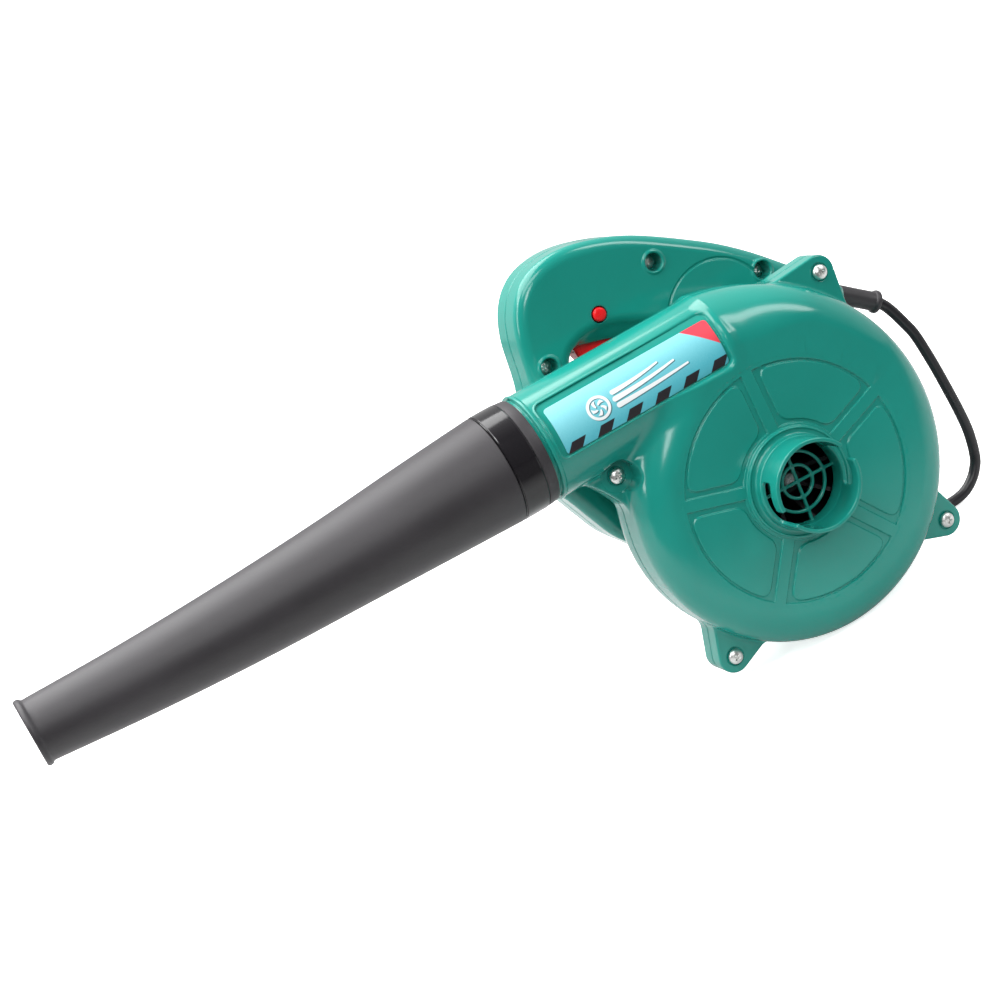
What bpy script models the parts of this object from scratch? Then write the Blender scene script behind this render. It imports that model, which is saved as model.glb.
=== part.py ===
"""Corded hand-held leaf blower: moulded fan volute, tapered nozzle, D-handle with its motor, and the lead.

Everything is modelled about the fan: the fan axis is Y through (0, 0), the intake faces -Y, the nozzle
points along -X and Z is up.  The "blower" empty then stands the whole machine on Z = 0.
Lengths in the tables below are millimetres; mm() turns them into metres.
"""
import math

import bmesh
import bpy
from mathutils import Matrix, Vector

# ---------------------------------------------------------------- driving dimensions (millimetres)
WALL = 2.5                    # moulded wall thickness
GAP = 0.3                     # clearance between touching pieces

HALF_DEPTH = 30.0             # volute face to its split plane
FRONT_CORNER = 17.5           # radius round the edge of the volute's front face
REAR_CORNER = 25.0            # and round its rear face
SCROLL_START = 83.0           # smallest volute radius, low on the nozzle side
SCROLL_STEADY = 13.0          # steady growth from there round to the top
SCROLL_LATE = 8.2             # further growth, nearly all of it just before the top
SCROLL_FROM = -140.0          # angle where the growth begins
SCROLL_STEPS = 42
TUBE_HEIGHT = 75.5            # discharge tube axis above the fan axis
TUBE_RADIUS = 28.3
TUBE_END = -108.5
SPIGOT_RADIUS = 26.2
SPIGOT_END = -127.5

COLLAR_OUTER, COLLAR_BORE = 23.8, 21.4
COLLAR_REACH = 23.4           # collar length in front of the face
FLANGE_RADIUS = 28.2
PANEL_INNER, PANEL_OUTER = 31.5, 62.0
PANEL_DEPTH = 1.1
SPOKE_WIDTH = 6.4
SPOKE_START = 91.0            # angle of the first spoke between the sunk panels
NOTCH_ANGLES = (29.0, 209.0)  # middle of the two bayonet notches in the collar
NOTCH_WIDTH = 22.0            # degrees
SLOT_LENGTH = 34.0            # degrees, running clockwise from the notch

NOZZLE_STATIONS = (           # x, height of the centre, outer radius
    (-130.3, 75.5, 28.6), (-175.0, 74.5, 26.2), (-217.0, 73.4, 23.7), (-277.0, 72.7, 20.9),
    (-335.0, 73.8, 18.1), (-382.0, 76.0, 15.9),
)
NOZZLE_TIP = -385.0
NOZZLE_LIP_RADIUS = 17.2
NOZZLE_WALL = 2.2

LUG_HALF = 9.0                # half thickness of the screw lugs
LUG_RADIUS = 8.8
LUGS = (                      # screw centre, then where the lug's two sides leave the volute
    ((67.0, 83.5), (36.0, 90.0), (74.0, 58.0)),
    ((76.9, -67.8), (78.0, -48.0), (55.0, -69.0)),
    ((-62.3, -70.5), (-65.0, -48.0), (-38.0, -70.0)),
    ((-78.1, 44.3), (-88.0, 56.0), (-76.0, 22.0)),
)

HANDLE_FRONT = 31.0           # front face of the handle
HANDLE_SPLIT = 48.0           # plane where its two shells meet
HANDLE_BACK = 65.0
HANDLE_ROUND = 5.0            # radius of the handle's edges
BARREL_RADIUS = 47.5          # motor housing
BARREL_END = 119.0
STATOR_RADIUS = 43.7

HANDLE_OUTLINE = (            # closed curve round the handle and the motor, seen from the intake side
    (94.0, 50.5), (97.0, 60.0), (90.0, 68.5), (79.5, 79.0), (68.4, 90.1), (53.4, 104.1), (34.0, 118.8),
    (0.0, 139.3), (-25.5, 148.6), (-45.0, 151.0), (-61.5, 147.3), (-73.5, 137.0), (-80.8, 120.5),
    (-85.3, 93.6), (-94.3, 70.0), (-101.5, 48.0), (-93.0, 33.0), (-86.0, 18.0), (-79.5, 5.0), (-70.0, -7.0),
    (-53.0, -27.0), (-33.0, -44.0), (0.0, -53.0), (34.0, -40.0), (52.0, -12.0), (60.0, 15.0),
    (74.0, 34.0), (88.0, 42.5),
)
FINGER_OUTLINE = (            # closed curve round the finger opening
    (-59.5, 98.0), (-53.0, 102.8), (-43.7, 104.6), (-33.0, 103.3), (-16.0, 95.8), (10.0, 80.5),
    (32.0, 66.0), (45.0, 52.0), (40.0, 42.5), (22.0, 48.5), (0.0, 53.0), (-26.0, 46.5), (-45.0, 28.5),
    (-50.5, 8.0), (-54.0, 0.0), (-61.5, 7.0), (-69.5, 21.0), (-76.0, 38.0), (-76.0, 58.0), (-67.7, 79.5),
)
HANDLE_SCREWS = ((-72.3, 100.4), (3.1, 122.3), (56.8, 90.4), (-87.5, 50.0), (66.0, 46.0))
BACK_SCREW_CIRCLE = 36.0
BACK_SCREW_ANGLES = (30.0, 150.0, 270.0)

BUTTON_PLACE = (-35.8, 112.0)
BUTTON_RADIUS = 3.7
TRIGGER_PIVOT = (-10.0, 101.0)
TRIGGER_WIDTH = 13.0

BOOT_END = (119.2, 48.0, 39.1)     # outer end of the strain relief
BOOT_DIRECTION = (0.8, 0.0, -0.6)
BOOT_RADIUS = 5.4
BEAD_RADIUS = 6.4
BOOT_LENGTH = 48.0
INNER_BEND_FROM = 50.0        # distance from the strain relief's end to the lead's bend inside the housing
INNER_BEND_RADIUS = 30.0
INNER_TAIL = 18.0             # straight length of lead after that bend
CLAMP_FROM_BEND = 10.0
CLAMP_SCREW_REACH = 6.6

CORD_RADIUS = 3.1
CORD_LIE = 0.05               # the cord's clearance over the surface
CORD_ROUTE = (                # route points after the strain relief, x and y; z is above the surface
    (121.5, 48.0, 122.2), (124.8, 47.8, 116.6), (128.9, 47.5, 106.8), (131.9, 47.3, 98.0),
    (134.6, 47.0, 81.3), (136.3, 46.6, 65.3), (137.7, 46.2, 47.9), (137.9, 45.9, 33.9),
    (135.6, 45.6, 20.3), (132.2, 45.5, 13.7), (127.3, 45.5, 8.6), (119.8, 45.6, 4.6),
)
CORD_FLOOR_ROUTE = ((109.5, 46.8), (98.5, 52.0), (88.5, 62.0), (82.5, 76.0), (81.0, 92.0), (81.0, 112.0))
CORD_TAIL = 140.6             # y where the plain run meets the coil
COIL_CENTRE = (37.6, 165.0)
COIL_RADIUS = 37.0            # middle of the turns
COIL_HALF_WIDTH = 9.6
COIL_HEIGHT = 19.2
COIL_ROUND = 3.0              # rounding of the coil's edges
PLUG_RADIUS = 17.5
PLUG_LENGTH = 44.0
PLUG_TAIL = (37.6, 134.4)     # x and y of the plug's cable end, over the coil's inner turn
PIN_SPREAD = 9.5              # each pin's distance from the plug's axis

CENTRE_X = -131.3             # middle of the machine's own bounding box, without the lead
CENTRE_Y = 32.8

MATERIALS = {                 # colour, metallic, roughness
    "green_plastic": ((0.022, 0.255, 0.205), 0.0, 0.28),
    "black_rubber": ((0.030, 0.028, 0.030), 0.0, 0.62),
    "black_gloss": ((0.020, 0.019, 0.021), 0.0, 0.22),
    "red_plastic": ((0.80, 0.030, 0.030), 0.0, 0.35),
    "label": ((0.10, 0.52, 0.60), 0.1, 0.35),
    "zinc": ((0.74, 0.74, 0.72), 1.0, 0.30),
    "steel": ((0.55, 0.55, 0.56), 1.0, 0.35),
    "lamination": ((0.20, 0.20, 0.21), 1.0, 0.50),
    "copper": ((0.60, 0.23, 0.10), 1.0, 0.35),
    "brass": ((0.62, 0.45, 0.18), 1.0, 0.35),
    "carbon": ((0.035, 0.035, 0.038), 0.1, 0.55),
    "fan_plastic": ((0.012, 0.012, 0.013), 0.0, 0.45),
    "switch_plastic": ((0.025, 0.025, 0.027), 0.0, 0.50),
    "cord_pvc": ((0.016, 0.015, 0.018), 0.0, 0.38),
    "capacitor_yellow": ((0.70, 0.50, 0.08), 0.0, 0.45),
}


# ---------------------------------------------------------------- scene and material helpers
def mm(*values):
    """Millimetres to metres, as a vector."""
    return Vector([0.001 * value for value in values])


def clear_scene():
    for obj in list(bpy.data.objects):
        bpy.data.objects.remove(obj)


def make_material(name):
    colour, metallic, roughness = MATERIALS[name]
    material = bpy.data.materials.new(name)
    material.use_nodes = True
    shader = material.node_tree.nodes["Principled BSDF"]
    shader.inputs["Base Color"].default_value = (*colour, 1.0)
    shader.inputs["Metallic"].default_value = metallic
    shader.inputs["Roughness"].default_value = roughness
    return material


def finish(name, obj, material, origin=(0.0, 0.0, 0.0), parent=None):
    """Name a solid, give it its material and put its origin at a point given in millimetres."""
    shift = mm(*origin)
    obj.data.transform(Matrix.Translation(-shift))
    obj.location = shift
    obj.name = name
    obj.data.name = name
    obj.data.materials.clear()
    obj.data.materials.append(bpy.data.materials.get(material) or make_material(material))
    obj.data.shade_smooth()
    obj.data.set_sharp_from_angle(angle=math.radians(35))
    obj.parent = parent or BLOWER
    return obj


def object_from_mesh(mesh):
    obj = bpy.data.objects.new("piece", mesh)
    PARTS.objects.link(obj)
    return obj


def object_from_bmesh(bm):
    """A solid from a bmesh, with its faces pointing out."""
    bmesh.ops.recalc_face_normals(bm, faces=bm.faces)
    mesh = bpy.data.meshes.new("piece")
    bm.to_mesh(mesh)
    bm.free()
    return object_from_mesh(mesh)


def baked(obj):
    """The object's evaluated shape as a plain mesh object in world space; the source is removed."""
    bpy.context.view_layer.update()
    depsgraph = bpy.context.evaluated_depsgraph_get()
    mesh = bpy.data.meshes.new_from_object(obj.evaluated_get(depsgraph), depsgraph=depsgraph)
    mesh.transform(obj.matrix_world)
    bpy.data.objects.remove(obj)
    bm = bmesh.new()
    bm.from_mesh(mesh)
    bmesh.ops.remove_doubles(bm, verts=bm.verts, dist=0.000001)
    return object_from_bmesh(bm)


def boolean(target, others, operation):
    """Join, cut or intersect solids with the exact solver."""
    for other in others:
        modifier = target.modifiers.new("cut", "BOOLEAN")
        modifier.operation = operation
        modifier.solver = "EXACT"
        modifier.object = other
        target = baked(target)
        bpy.data.objects.remove(other)
    return target


def join(target, *others):
    return boolean(target, others, "UNION")


def cut(target, *others):
    return boolean(target, others, "DIFFERENCE")


def common(target, other):
    return boolean(target, (other,), "INTERSECT")


def gathered(solids):
    """Several solids that stay apart, as one mesh, for use as one cutter or one addition."""
    bm = bmesh.new()
    for solid in solids:
        bm.from_mesh(solid.data)
        bpy.data.objects.remove(solid)
    return object_from_bmesh(bm)


# ---------------------------------------------------------------- shape helpers (arguments in millimetres)
def box(low, high):
    bm = bmesh.new()
    size = [top - bottom for bottom, top in zip(low, high)]
    middle = [(top + bottom) / 2 for bottom, top in zip(low, high)]
    bmesh.ops.create_cube(bm, size=1.0)
    bmesh.ops.transform(bm, matrix=Matrix.Diagonal((*mm(*size), 1.0)), verts=bm.verts)
    bmesh.ops.translate(bm, vec=mm(*middle), verts=bm.verts)
    return object_from_bmesh(bm)


def frame_along(start, direction):
    """A matrix whose Z axis lies along a direction, at a start point in millimetres."""
    turn = Vector(direction).to_track_quat("Z", "Y").to_matrix().to_4x4()
    return Matrix.Translation(mm(*start)) @ turn


def cylinder(start, direction, length, radius, sides=24):
    bm = bmesh.new()
    bmesh.ops.create_cone(bm, cap_ends=True, segments=sides, radius1=radius * 0.001,
                          radius2=radius * 0.001, depth=length * 0.001)
    bmesh.ops.translate(bm, vec=mm(0, 0, length / 2), verts=bm.verts)
    bmesh.ops.transform(bm, matrix=frame_along(start, direction), verts=bm.verts)
    return object_from_bmesh(bm)


def turned(profile, start=(0, 0, 0), direction=(0, 1, 0), closed=False, steps=32):
    """A turned solid: the profile lists (radius, height), down the outer side from the top."""
    bm = bmesh.new()
    verts = [bm.verts.new(mm(radius, 0, height)) for radius, height in profile]
    pairs = list(zip(verts, verts[1:]))
    if closed:
        pairs.append((verts[-1], verts[0]))
    for pair in pairs:
        bm.edges.new(pair)
    mesh = bpy.data.meshes.new("profile")
    bm.to_mesh(mesh)
    bm.free()
    obj = object_from_mesh(mesh)
    obj.matrix_world = frame_along(start, direction)
    screw = obj.modifiers.new("turn", "SCREW")
    screw.steps = steps
    screw.render_steps = steps
    screw.use_merge_vertices = True
    screw.merge_threshold = 0.00001
    return baked(obj)


def ring(inner, outer, y0, y1, steps=32):
    """A plain ring about the fan axis."""
    return turned([(outer, y1), (outer, y0), (inner, y0), (inner, y1)], closed=True, steps=steps)


def disc(radius, y0, y1, steps=32):
    return turned([(0, y1), (radius, y1), (radius, y0), (0, y0)], steps=steps)


def plate(outline, y0, y1):
    """A flat outline in X and Z, solid from y0 to y1."""
    curve = bpy.data.curves.new("outline", "CURVE")
    curve.dimensions = "2D"
    curve.fill_mode = "BOTH"
    curve.extrude = (y1 - y0) / 2 * 0.001
    spline = curve.splines.new("POLY")
    spline.points.add(len(outline) - 1)
    for point, (x, z) in zip(spline.points, outline):
        point.co = (x * 0.001, z * 0.001, 0, 1)
    spline.use_cyclic_u = True
    obj = bpy.data.objects.new("outline", curve)
    PARTS.objects.link(obj)
    obj.rotation_euler = (math.radians(90), 0, 0)
    obj.location = mm(0, (y0 + y1) / 2, 0)
    return baked(obj)


def polar(radius, degrees):
    return (radius * math.cos(math.radians(degrees)), radius * math.sin(math.radians(degrees)))


def arc(centre, radius, start, end, count):
    """Points along an arc, both ends included."""
    points = []
    for step in range(count + 1):
        x, z = polar(radius, start + (end - start) * step / count)
        points.append((centre[0] + x, centre[1] + z))
    return points


def sector(inner, outer, start, end, y0, y1, count=6):
    """Part of a ring about the fan axis, between two angles."""
    outline = arc((0, 0), outer, start, end, count) + arc((0, 0), inner, end, start, count)
    return plate(outline, y0, y1)


def smooth_loop(points, per_span):
    """A closed Catmull-Rom curve through the points."""
    count = len(points)
    loop = []
    for index in range(count):
        before, here, there, after = (Vector(points[(index + k) % count]) for k in (-1, 0, 1, 2))
        for step in range(per_span):
            t = step / per_span
            point = (2 * here + (there - before) * t + (2 * before - 5 * here + 4 * there - after) * t ** 2
                     + (3 * here - before - 3 * there + after) * t ** 3) / 2
            loop.append((point.x, point.y))
    return loop


def smooth_path(points, per_span):
    """An open Catmull-Rom curve through 3-D points, straight at both ends."""
    points = [Vector(point) for point in points]
    padded = [2 * points[0] - points[1]] + points + [2 * points[-1] - points[-2]]
    path = []
    for before, here, there, after in zip(padded, padded[1:], padded[2:], padded[3:]):
        for step in range(per_span):
            t = step / per_span
            path.append((2 * here + (there - before) * t
                         + (2 * before - 5 * here + 4 * there - after) * t ** 2
                         + (3 * here - before - 3 * there + after) * t ** 3) / 2)
    return path + [points[-1]]


def signed_area(loop):
    return sum(x0 * z1 - x1 * z0 for (x0, z0), (x1, z1) in zip(loop, loop[1:] + loop[:1])) / 2


def inset_loop(loop, distance):
    """The loop moved to its left by a distance: into the material of an anticlockwise outline."""
    count = len(loop)
    moved = []
    for index in range(count):
        before = Vector(loop[index - 1])
        after = Vector(loop[(index + 1) % count])
        along = (after - before).normalized()
        moved.append((loop[index][0] - along.y * distance, loop[index][1] + along.x * distance))
    return moved


def rounded_plate(outer, holes, layers):
    """A plate with openings whose edges follow layers of (y, inset), from the first y to the last."""
    loops = [outer if signed_area(outer) > 0 else outer[::-1]]
    loops += [hole if signed_area(hole) < 0 else hole[::-1] for hole in holes]
    bm = bmesh.new()
    ends = [[], []]
    for loop in loops:
        rings = []
        for y, inset in layers:
            rings.append([bm.verts.new(mm(x, y, z)) for x, z in inset_loop(loop, inset)])
        for low, high in zip(rings, rings[1:]):
            for index in range(len(loop)):
                bm.faces.new((low[index - 1], low[index], high[index], high[index - 1]))
        for side, last in zip(ends, (rings[0], rings[-1])):
            side += [bm.edges.get((last[index - 1], last[index])) for index in range(len(loop))]
    for edges in ends:
        bmesh.ops.triangle_fill(bm, edges=edges, use_beauty=True)
    return object_from_bmesh(bm)


def round_layers(y_face, y_back, radius, steps=2):
    """Layers of a plate whose edge is rounded at y_face and square at y_back."""
    toward = 1 if y_back > y_face else -1
    layers = []
    for step in range(steps + 1):
        angle = math.radians(90 * step / steps)
        layers.append((y_face + toward * radius * (1 - math.cos(angle)), radius * (1 - math.sin(angle))))
    return layers + [(y_back, 0.0)]


# ---------------------------------------------------------------- volute
def scroll_radius(degrees):
    """Outer radius of the volute at an angle; it grows round the bottom and right side to the top."""
    turn = (degrees - SCROLL_FROM) % 360
    span = 90 - SCROLL_FROM
    if turn <= span:
        return SCROLL_START + SCROLL_STEADY * turn / span + SCROLL_LATE * (turn / span) ** 6
    back = (360 - turn) / (360 - span)
    return SCROLL_START + (SCROLL_STEADY + SCROLL_LATE) * max(0.0, back * 1.6 - 0.6) ** 1.5


def volute_solid(inset, steps=SCROLL_STEPS):
    """The scroll's drum, both halves, made smaller by an inset."""
    depth = HALF_DEPTH - inset
    bm = bmesh.new()
    rings = []
    for step in range(steps):
        angle = 360 * step / steps
        edge = scroll_radius(angle) - inset
        column = []
        for side, corner in ((-1, FRONT_CORNER - inset), (1, REAR_CORNER - inset)):
            for turn in (0, 45, 90)[::side]:
                back, up = polar(corner, turn)
                x, z = polar(edge - corner + back, angle)
                column.append(bm.verts.new(mm(x, side * (depth - corner + up), z)))
        rings.append(column)
    for index in range(steps):
        here, there = rings[index - 1], rings[index]
        for k in range(len(here) - 1):
            bm.faces.new((here[k], there[k], there[k + 1], here[k + 1]))
    for k in (0, -1):
        centre = bm.verts.new(mm(0, depth if k else -depth, 0))
        for index in range(steps):
            bm.faces.new((rings[index - 1][k], rings[index][k], centre))
    return object_from_bmesh(bm)


def hull(points):
    """The convex outline round a set of points, anticlockwise."""
    chains = []
    for ordered in (sorted(points), sorted(points, reverse=True)):
        chain = []
        for x, z in ordered:
            while len(chain) > 1:
                (x0, z0), (x1, z1) = chain[-2:]
                if (x1 - x0) * (z - z0) - (z1 - z0) * (x - x0) > 0:
                    break
                chain.pop()
            chain.append((x, z))
        chains += chain[:-1]
    return chains


def lug(centre, first, second, y0, y1):
    """A screw lug: a rounded tip about the screw, with straight sides running to the volute."""
    root = ((first[0] + second[0]) * 0.4, (first[1] + second[1]) * 0.4)
    return plate(hull([first, second, root] + arc(centre, LUG_RADIUS, 0, 340, 17)), y0, y1)


def sunk_panels():
    """The five sunk sectors of the volute's face, as one cutter."""
    half = math.degrees(SPOKE_WIDTH / 2 / PANEL_OUTER)
    inner_half = math.degrees(SPOKE_WIDTH / 2 / PANEL_INNER)
    cutters = []
    for index in range(5):
        start = SPOKE_START + 72 * index
        outline = arc((0, 0), PANEL_OUTER, start + half, start + 72 - half, 5)
        outline += arc((0, 0), PANEL_INNER, start + 72 - inner_half, start + inner_half, 3)
        cutters.append(plate(outline, -HALF_DEPTH - 1, -HALF_DEPTH + PANEL_DEPTH))
    return gathered(cutters)


def collar_cutters():
    """The two L-shaped bayonet slots: an open notch, then a slot running clockwise."""
    rim = -HALF_DEPTH - COLLAR_REACH
    cutters = []
    inner, outer = COLLAR_BORE - 2, COLLAR_OUTER + 2
    for middle in NOTCH_ANGLES:
        start, end = middle - NOTCH_WIDTH / 2, middle + NOTCH_WIDTH / 2
        notch = sector(inner, outer, start, end, rim - 1, rim + 9, 3)
        slot = sector(inner, outer, start - SLOT_LENGTH, end, rim + 7, rim + 12)
        cutters.append(join(notch, slot))
    return gathered(cutters)


def intake_guard():
    """Two rings and a cross of bars inside the collar's foot."""
    y0, y1 = -HALF_DEPTH - 0.5, -HALF_DEPTH + 1.5
    guard = join(ring(7.6, 9.4, y0, y1, 16), gathered([ring(14.6, 16.4, y0, y1, 20)]))
    for index, degrees in enumerate((-3.0, 87.0)):
        bar = box((-COLLAR_BORE - 1, y0 + 0.2, -0.9), (COLLAR_BORE + 1, y1 - 0.2 - 0.1 * index, 0.9))
        bar.data.transform(Matrix.Rotation(math.radians(-degrees), 4, "Y"))
        guard = join(guard, bar)
    return guard


def volute_shells():
    """The front and rear halves of the volute with their tube, spigot and lugs."""
    tube = cylinder((-1, 0, TUBE_HEIGHT), (-1, 0, 0), -1 - TUBE_END, TUBE_RADIUS, 24)
    spigot = cylinder((-90, 0, TUBE_HEIGHT), (-1, 0, 0), -90 - SPIGOT_END, SPIGOT_RADIUS, 24)
    outside = join(volute_solid(0), tube, spigot)
    for centre, first, second in LUGS:
        outside = join(outside, lug(centre, first, second, -LUG_HALF, LUG_HALF))
    bore = cylinder((-1, 0, TUBE_HEIGHT), (-1, 0, 0), -SPIGOT_END + 4, SPIGOT_RADIUS - WALL + 0.3, 24)
    shell = cut(outside, join(volute_solid(WALL), bore))
    holes = [cylinder((x, -20, z), (0, 1, 0), 40, 2.3, 8) for (x, z), _, _ in LUGS]
    shell = cut(shell, gathered(holes))
    copy = object_from_mesh(shell.data.copy())
    front = common(shell, box((-200, -60, -150), (150, -GAP / 2, 150)))
    rear = common(copy, box((-200, GAP / 2, -150), (150, 60, 150)))

    front = cut(front, disc(COLLAR_BORE, -HALF_DEPTH - 5, -HALF_DEPTH + 5), sunk_panels())
    rim = -HALF_DEPTH - COLLAR_REACH
    collar = ring(COLLAR_BORE, COLLAR_OUTER, rim, -HALF_DEPTH + 1.5, 28)
    collar = join(collar, ring(COLLAR_OUTER - 1, FLANGE_RADIUS, -HALF_DEPTH - 1.8, -HALF_DEPTH + 1.0, 28))
    collar = cut(collar, collar_cutters())
    front = join(front, collar, intake_guard())
    front = cut(front, label_pocket(0.0))
    finish("front_volute", front, "green_plastic")

    rear = cut(rear, disc(13.5, 20, 40))
    holes = []
    for angle in BACK_SCREW_ANGLES:
        x, z = polar(BACK_SCREW_CIRCLE, angle)
        holes.append(cylinder((x, 20, z), (0, 1, 0), 15, 2.2, 8))
    finish("rear_volute", cut(rear, gathered(holes)), "green_plastic")


def label_pocket(inset):
    """The flat on the tube's front for the label, tilted with the tube's upper front quarter."""
    length, height, tilt = 97.0, 25.4, math.radians(17.0)
    pocket = box((-length / 2 + inset, -6, -height / 2 + inset), (length / 2 - inset, 0, height / 2 - inset))
    out = TUBE_RADIUS - 2.4
    place = Matrix.Translation(mm(-53.6, -out * math.cos(tilt), TUBE_HEIGHT + out * math.sin(tilt)))
    pocket.data.transform(place @ Matrix.Rotation(-tilt, 4, "X"))
    return pocket


def label_plate():
    """The self-adhesive label, lying in its pocket."""
    length, height, thickness, tilt = 95.8, 24.2, 0.6, math.radians(17.0)
    label = box((-length / 2, -thickness, -height / 2), (length / 2, 0, height / 2))
    out = TUBE_RADIUS - 2.4 + GAP
    place = Matrix.Translation(mm(-53.6, -out * math.cos(tilt), TUBE_HEIGHT + out * math.sin(tilt)))
    label.data.transform(place @ Matrix.Rotation(-tilt, 4, "X"))
    finish("label_plate", label, "label")


def screw(name, place, direction, head_radius, head_height, shank_radius, shank_length, material="zinc"):
    """A pan-head screw: the place is under its head, the direction runs from the tip to the head."""
    profile = [(0, head_height), (head_radius * 0.62, head_height * 0.92), (head_radius, head_height * 0.45),
               (head_radius, 0), (shank_radius, 0), (shank_radius, -shank_length + 2), (0, -shank_length)]
    finish(name, turned(profile, place, direction, steps=8), material)


# ---------------------------------------------------------------- nozzle
def nozzle():
    """The rubber cone, whose centre line dips slightly on the way to the tip, and its hard cuff."""
    mouth, tip_height, tip_radius = NOZZLE_STATIONS[-1]
    outer = list(NOZZLE_STATIONS)
    outer += [(x, tip_height, NOZZLE_LIP_RADIUS) for x in (mouth, NOZZLE_TIP)]
    inner = [(x, z, radius - NOZZLE_WALL) for x, z, radius in NOZZLE_STATIONS]
    inner[-1] = (NOZZLE_TIP, tip_height, tip_radius - NOZZLE_WALL)
    steps = 24
    bm = bmesh.new()
    rings = []
    for x, height, radius in outer + inner[::-1]:
        circle = arc((0, height), radius, 0, 360 - 360 / steps, steps - 1)
        rings.append([bm.verts.new(mm(x, y, z)) for y, z in circle])
    for here, there in zip(rings, rings[1:] + rings[:1]):
        for index in range(steps):
            bm.faces.new((here[index - 1], here[index], there[index], there[index - 1]))
    finish("nozzle_cone", object_from_bmesh(bm), "black_rubber")
    bore = SPIGOT_RADIUS + GAP
    cuff = [(28.7, 130.0), (28.7, 116.6), (27.9, 110.6), (bore, 110.6), (bore, 130.0)]
    finish("nozzle_cuff", turned(cuff, (0, 0, TUBE_HEIGHT), (-1, 0, 0), closed=True, steps=24), "black_gloss")


# ---------------------------------------------------------------- fan and motor
def impeller():
    hub = turned([(0, 17.5), (10, 17.5), (10, -9), (8, -12), (0, -12)], steps=24)
    wheel = join(disc(64.0, 14.0, 16.0, 36), hub)
    vanes = []
    for index in range(9):
        outline = [(9, 15), (9, -8), (24, -21), (60, -13), (62, 15)]
        vane = plate(outline, -1.0, 1.0)
        vane.data.transform(Matrix.Rotation(math.radians(-90), 4, "X"))
        vane.data.transform(Matrix.Rotation(math.radians(40 * index), 4, "Y"))
        vanes.append(vane)
    wheel = join(wheel, gathered(vanes))
    finish("impeller", cut(wheel, disc(4.3, -20, 25, 16)), "fan_plastic")
    finish("impeller_washer", ring(4.3, 8.0, -13.5, -12.3, 20), "zinc")
    nut = turned([(0, -13.8), (7.4, -13.8), (7.4, -19.5), (0, -19.5)], steps=6)
    finish("impeller_nut", cut(nut, disc(4.4, -25, -10, 16)), "zinc")


def bearing(name, inner, outer, y0, y1):
    """A ball bearing's two races, with the ball gap left open between them."""
    middle = (inner + outer) / 2
    finish(name + "_outer", ring(middle + 0.8, outer, y0, y1, 24), "steel")
    finish(name + "_inner", ring(inner, middle - 0.8, y0, y1, 24), "steel")


def rotor():
    profile = [(0, 116), (3.2, 116), (3.2, 108.4), (4.0, 108.4), (4.0, -21), (3.6, -22), (0, -22)]
    finish("motor_shaft", turned(profile, steps=16), "steel")
    slots = []
    for index in range(12):
        slot = box((-1.0, 50, 18.5), (1.0, 90, 24))
        slot.data.transform(Matrix.Rotation(math.radians(30 * index), 4, "Y"))
        slots.append(slot)
    core = cut(ring(4.3, 22.5, 52, 88, 24), gathered(slots))
    finish("armature_core", core, "lamination")
    finish("armature_winding_front", ring(4.3, 18.0, 45, 51.7, 24), "copper")
    finish("armature_winding_rear", ring(4.3, 18.0, 88.3, 95, 24), "copper")
    finish("commutator", ring(4.3, 11.0, 95.3, 107, 24), "brass")
    bearing("front_bearing", 4.3, 11.0, 35, 42)
    bearing("rear_bearing", 3.5, 9.5, 108.7, 114.5)


def stator():
    core = ring(38.6, STATOR_RADIUS, 52, 88, 32)
    poles = [box((-15.5, 52, low), (15.5, 88, high)) for low, high in ((20, 40), (-40, -20))]
    core = join(core, gathered(poles))
    finish("stator_core", cut(core, disc(23.2, 40, 100, 28)), "lamination")
    for name, side in (("field_coil_upper", 1), ("field_coil_lower", -1)):
        low, high = sorted((24.2 * side, 31.0 * side))
        coil = box((-22, 46, low), (22, 94, high))
        coil = cut(coil, box((-15.8, 51.7, low - 1), (15.8, 88.3, high + 1)))
        finish(name, coil, "copper")


def brushes():
    """A carbon brush and its brass holder on each side of the commutator."""
    for name, side in (("left", -1), ("right", 1)):
        low, high = sorted((11.4 * side, 26.0 * side))
        finish("carbon_brush_" + name, box((low, 98, -3), (high, 104, 3)), "carbon")
        low, high = sorted((15.0 * side, 34.0 * side))
        holder = box((low, 96, -5), (high, 106, 5))
        low, high = sorted((14.0 * side, 32.0 * side))
        finish("brush_holder_" + name, cut(holder, box((low, 97.7, -3.3), (high, 104.3, 3.3))), "brass")


# ---------------------------------------------------------------- handle
def handle_loops():
    return smooth_loop(HANDLE_OUTLINE, 2), smooth_loop(FINGER_OUTLINE, 2)


def boss(place, radius, y0, y1):
    return cylinder((place[0], y0, place[1]), (0, 1, 0), y1 - y0, radius, 10)


def boot_place(distance):
    """A point on the strain relief's axis, a distance back from its outer end."""
    return tuple(end - distance * step for end, step in zip(BOOT_END, BOOT_DIRECTION))


def boot_hole():
    return cylinder(boot_place(60), BOOT_DIRECTION, 60, BOOT_RADIUS + GAP, 16)


def inner_bend():
    """The lead's bend inside the housing: its centre, and the angle where it meets the strain relief."""
    x, _, z = boot_place(INNER_BEND_FROM)
    along_x, _, along_z = BOOT_DIRECTION
    centre = (x + INNER_BEND_RADIUS * along_z, z - INNER_BEND_RADIUS * along_x)
    return centre, math.degrees(math.atan2(along_x, -along_z))


def clamp_place():
    """Where the clamp crosses the lead, just after the bend."""
    (x, z), _ = inner_bend()
    return (x - CLAMP_FROM_BEND, z + INNER_BEND_RADIUS)


def clamp_screw_places():
    """The two clamp screws, above and below the lead."""
    x, z = clamp_place()
    return [(x, z + side * CLAMP_SCREW_REACH) for side in (-1, 1)]


def trigger_slot():
    return box((-53.5, 40.7, 88), (-12.5, 55.3, 108.5))


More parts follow.
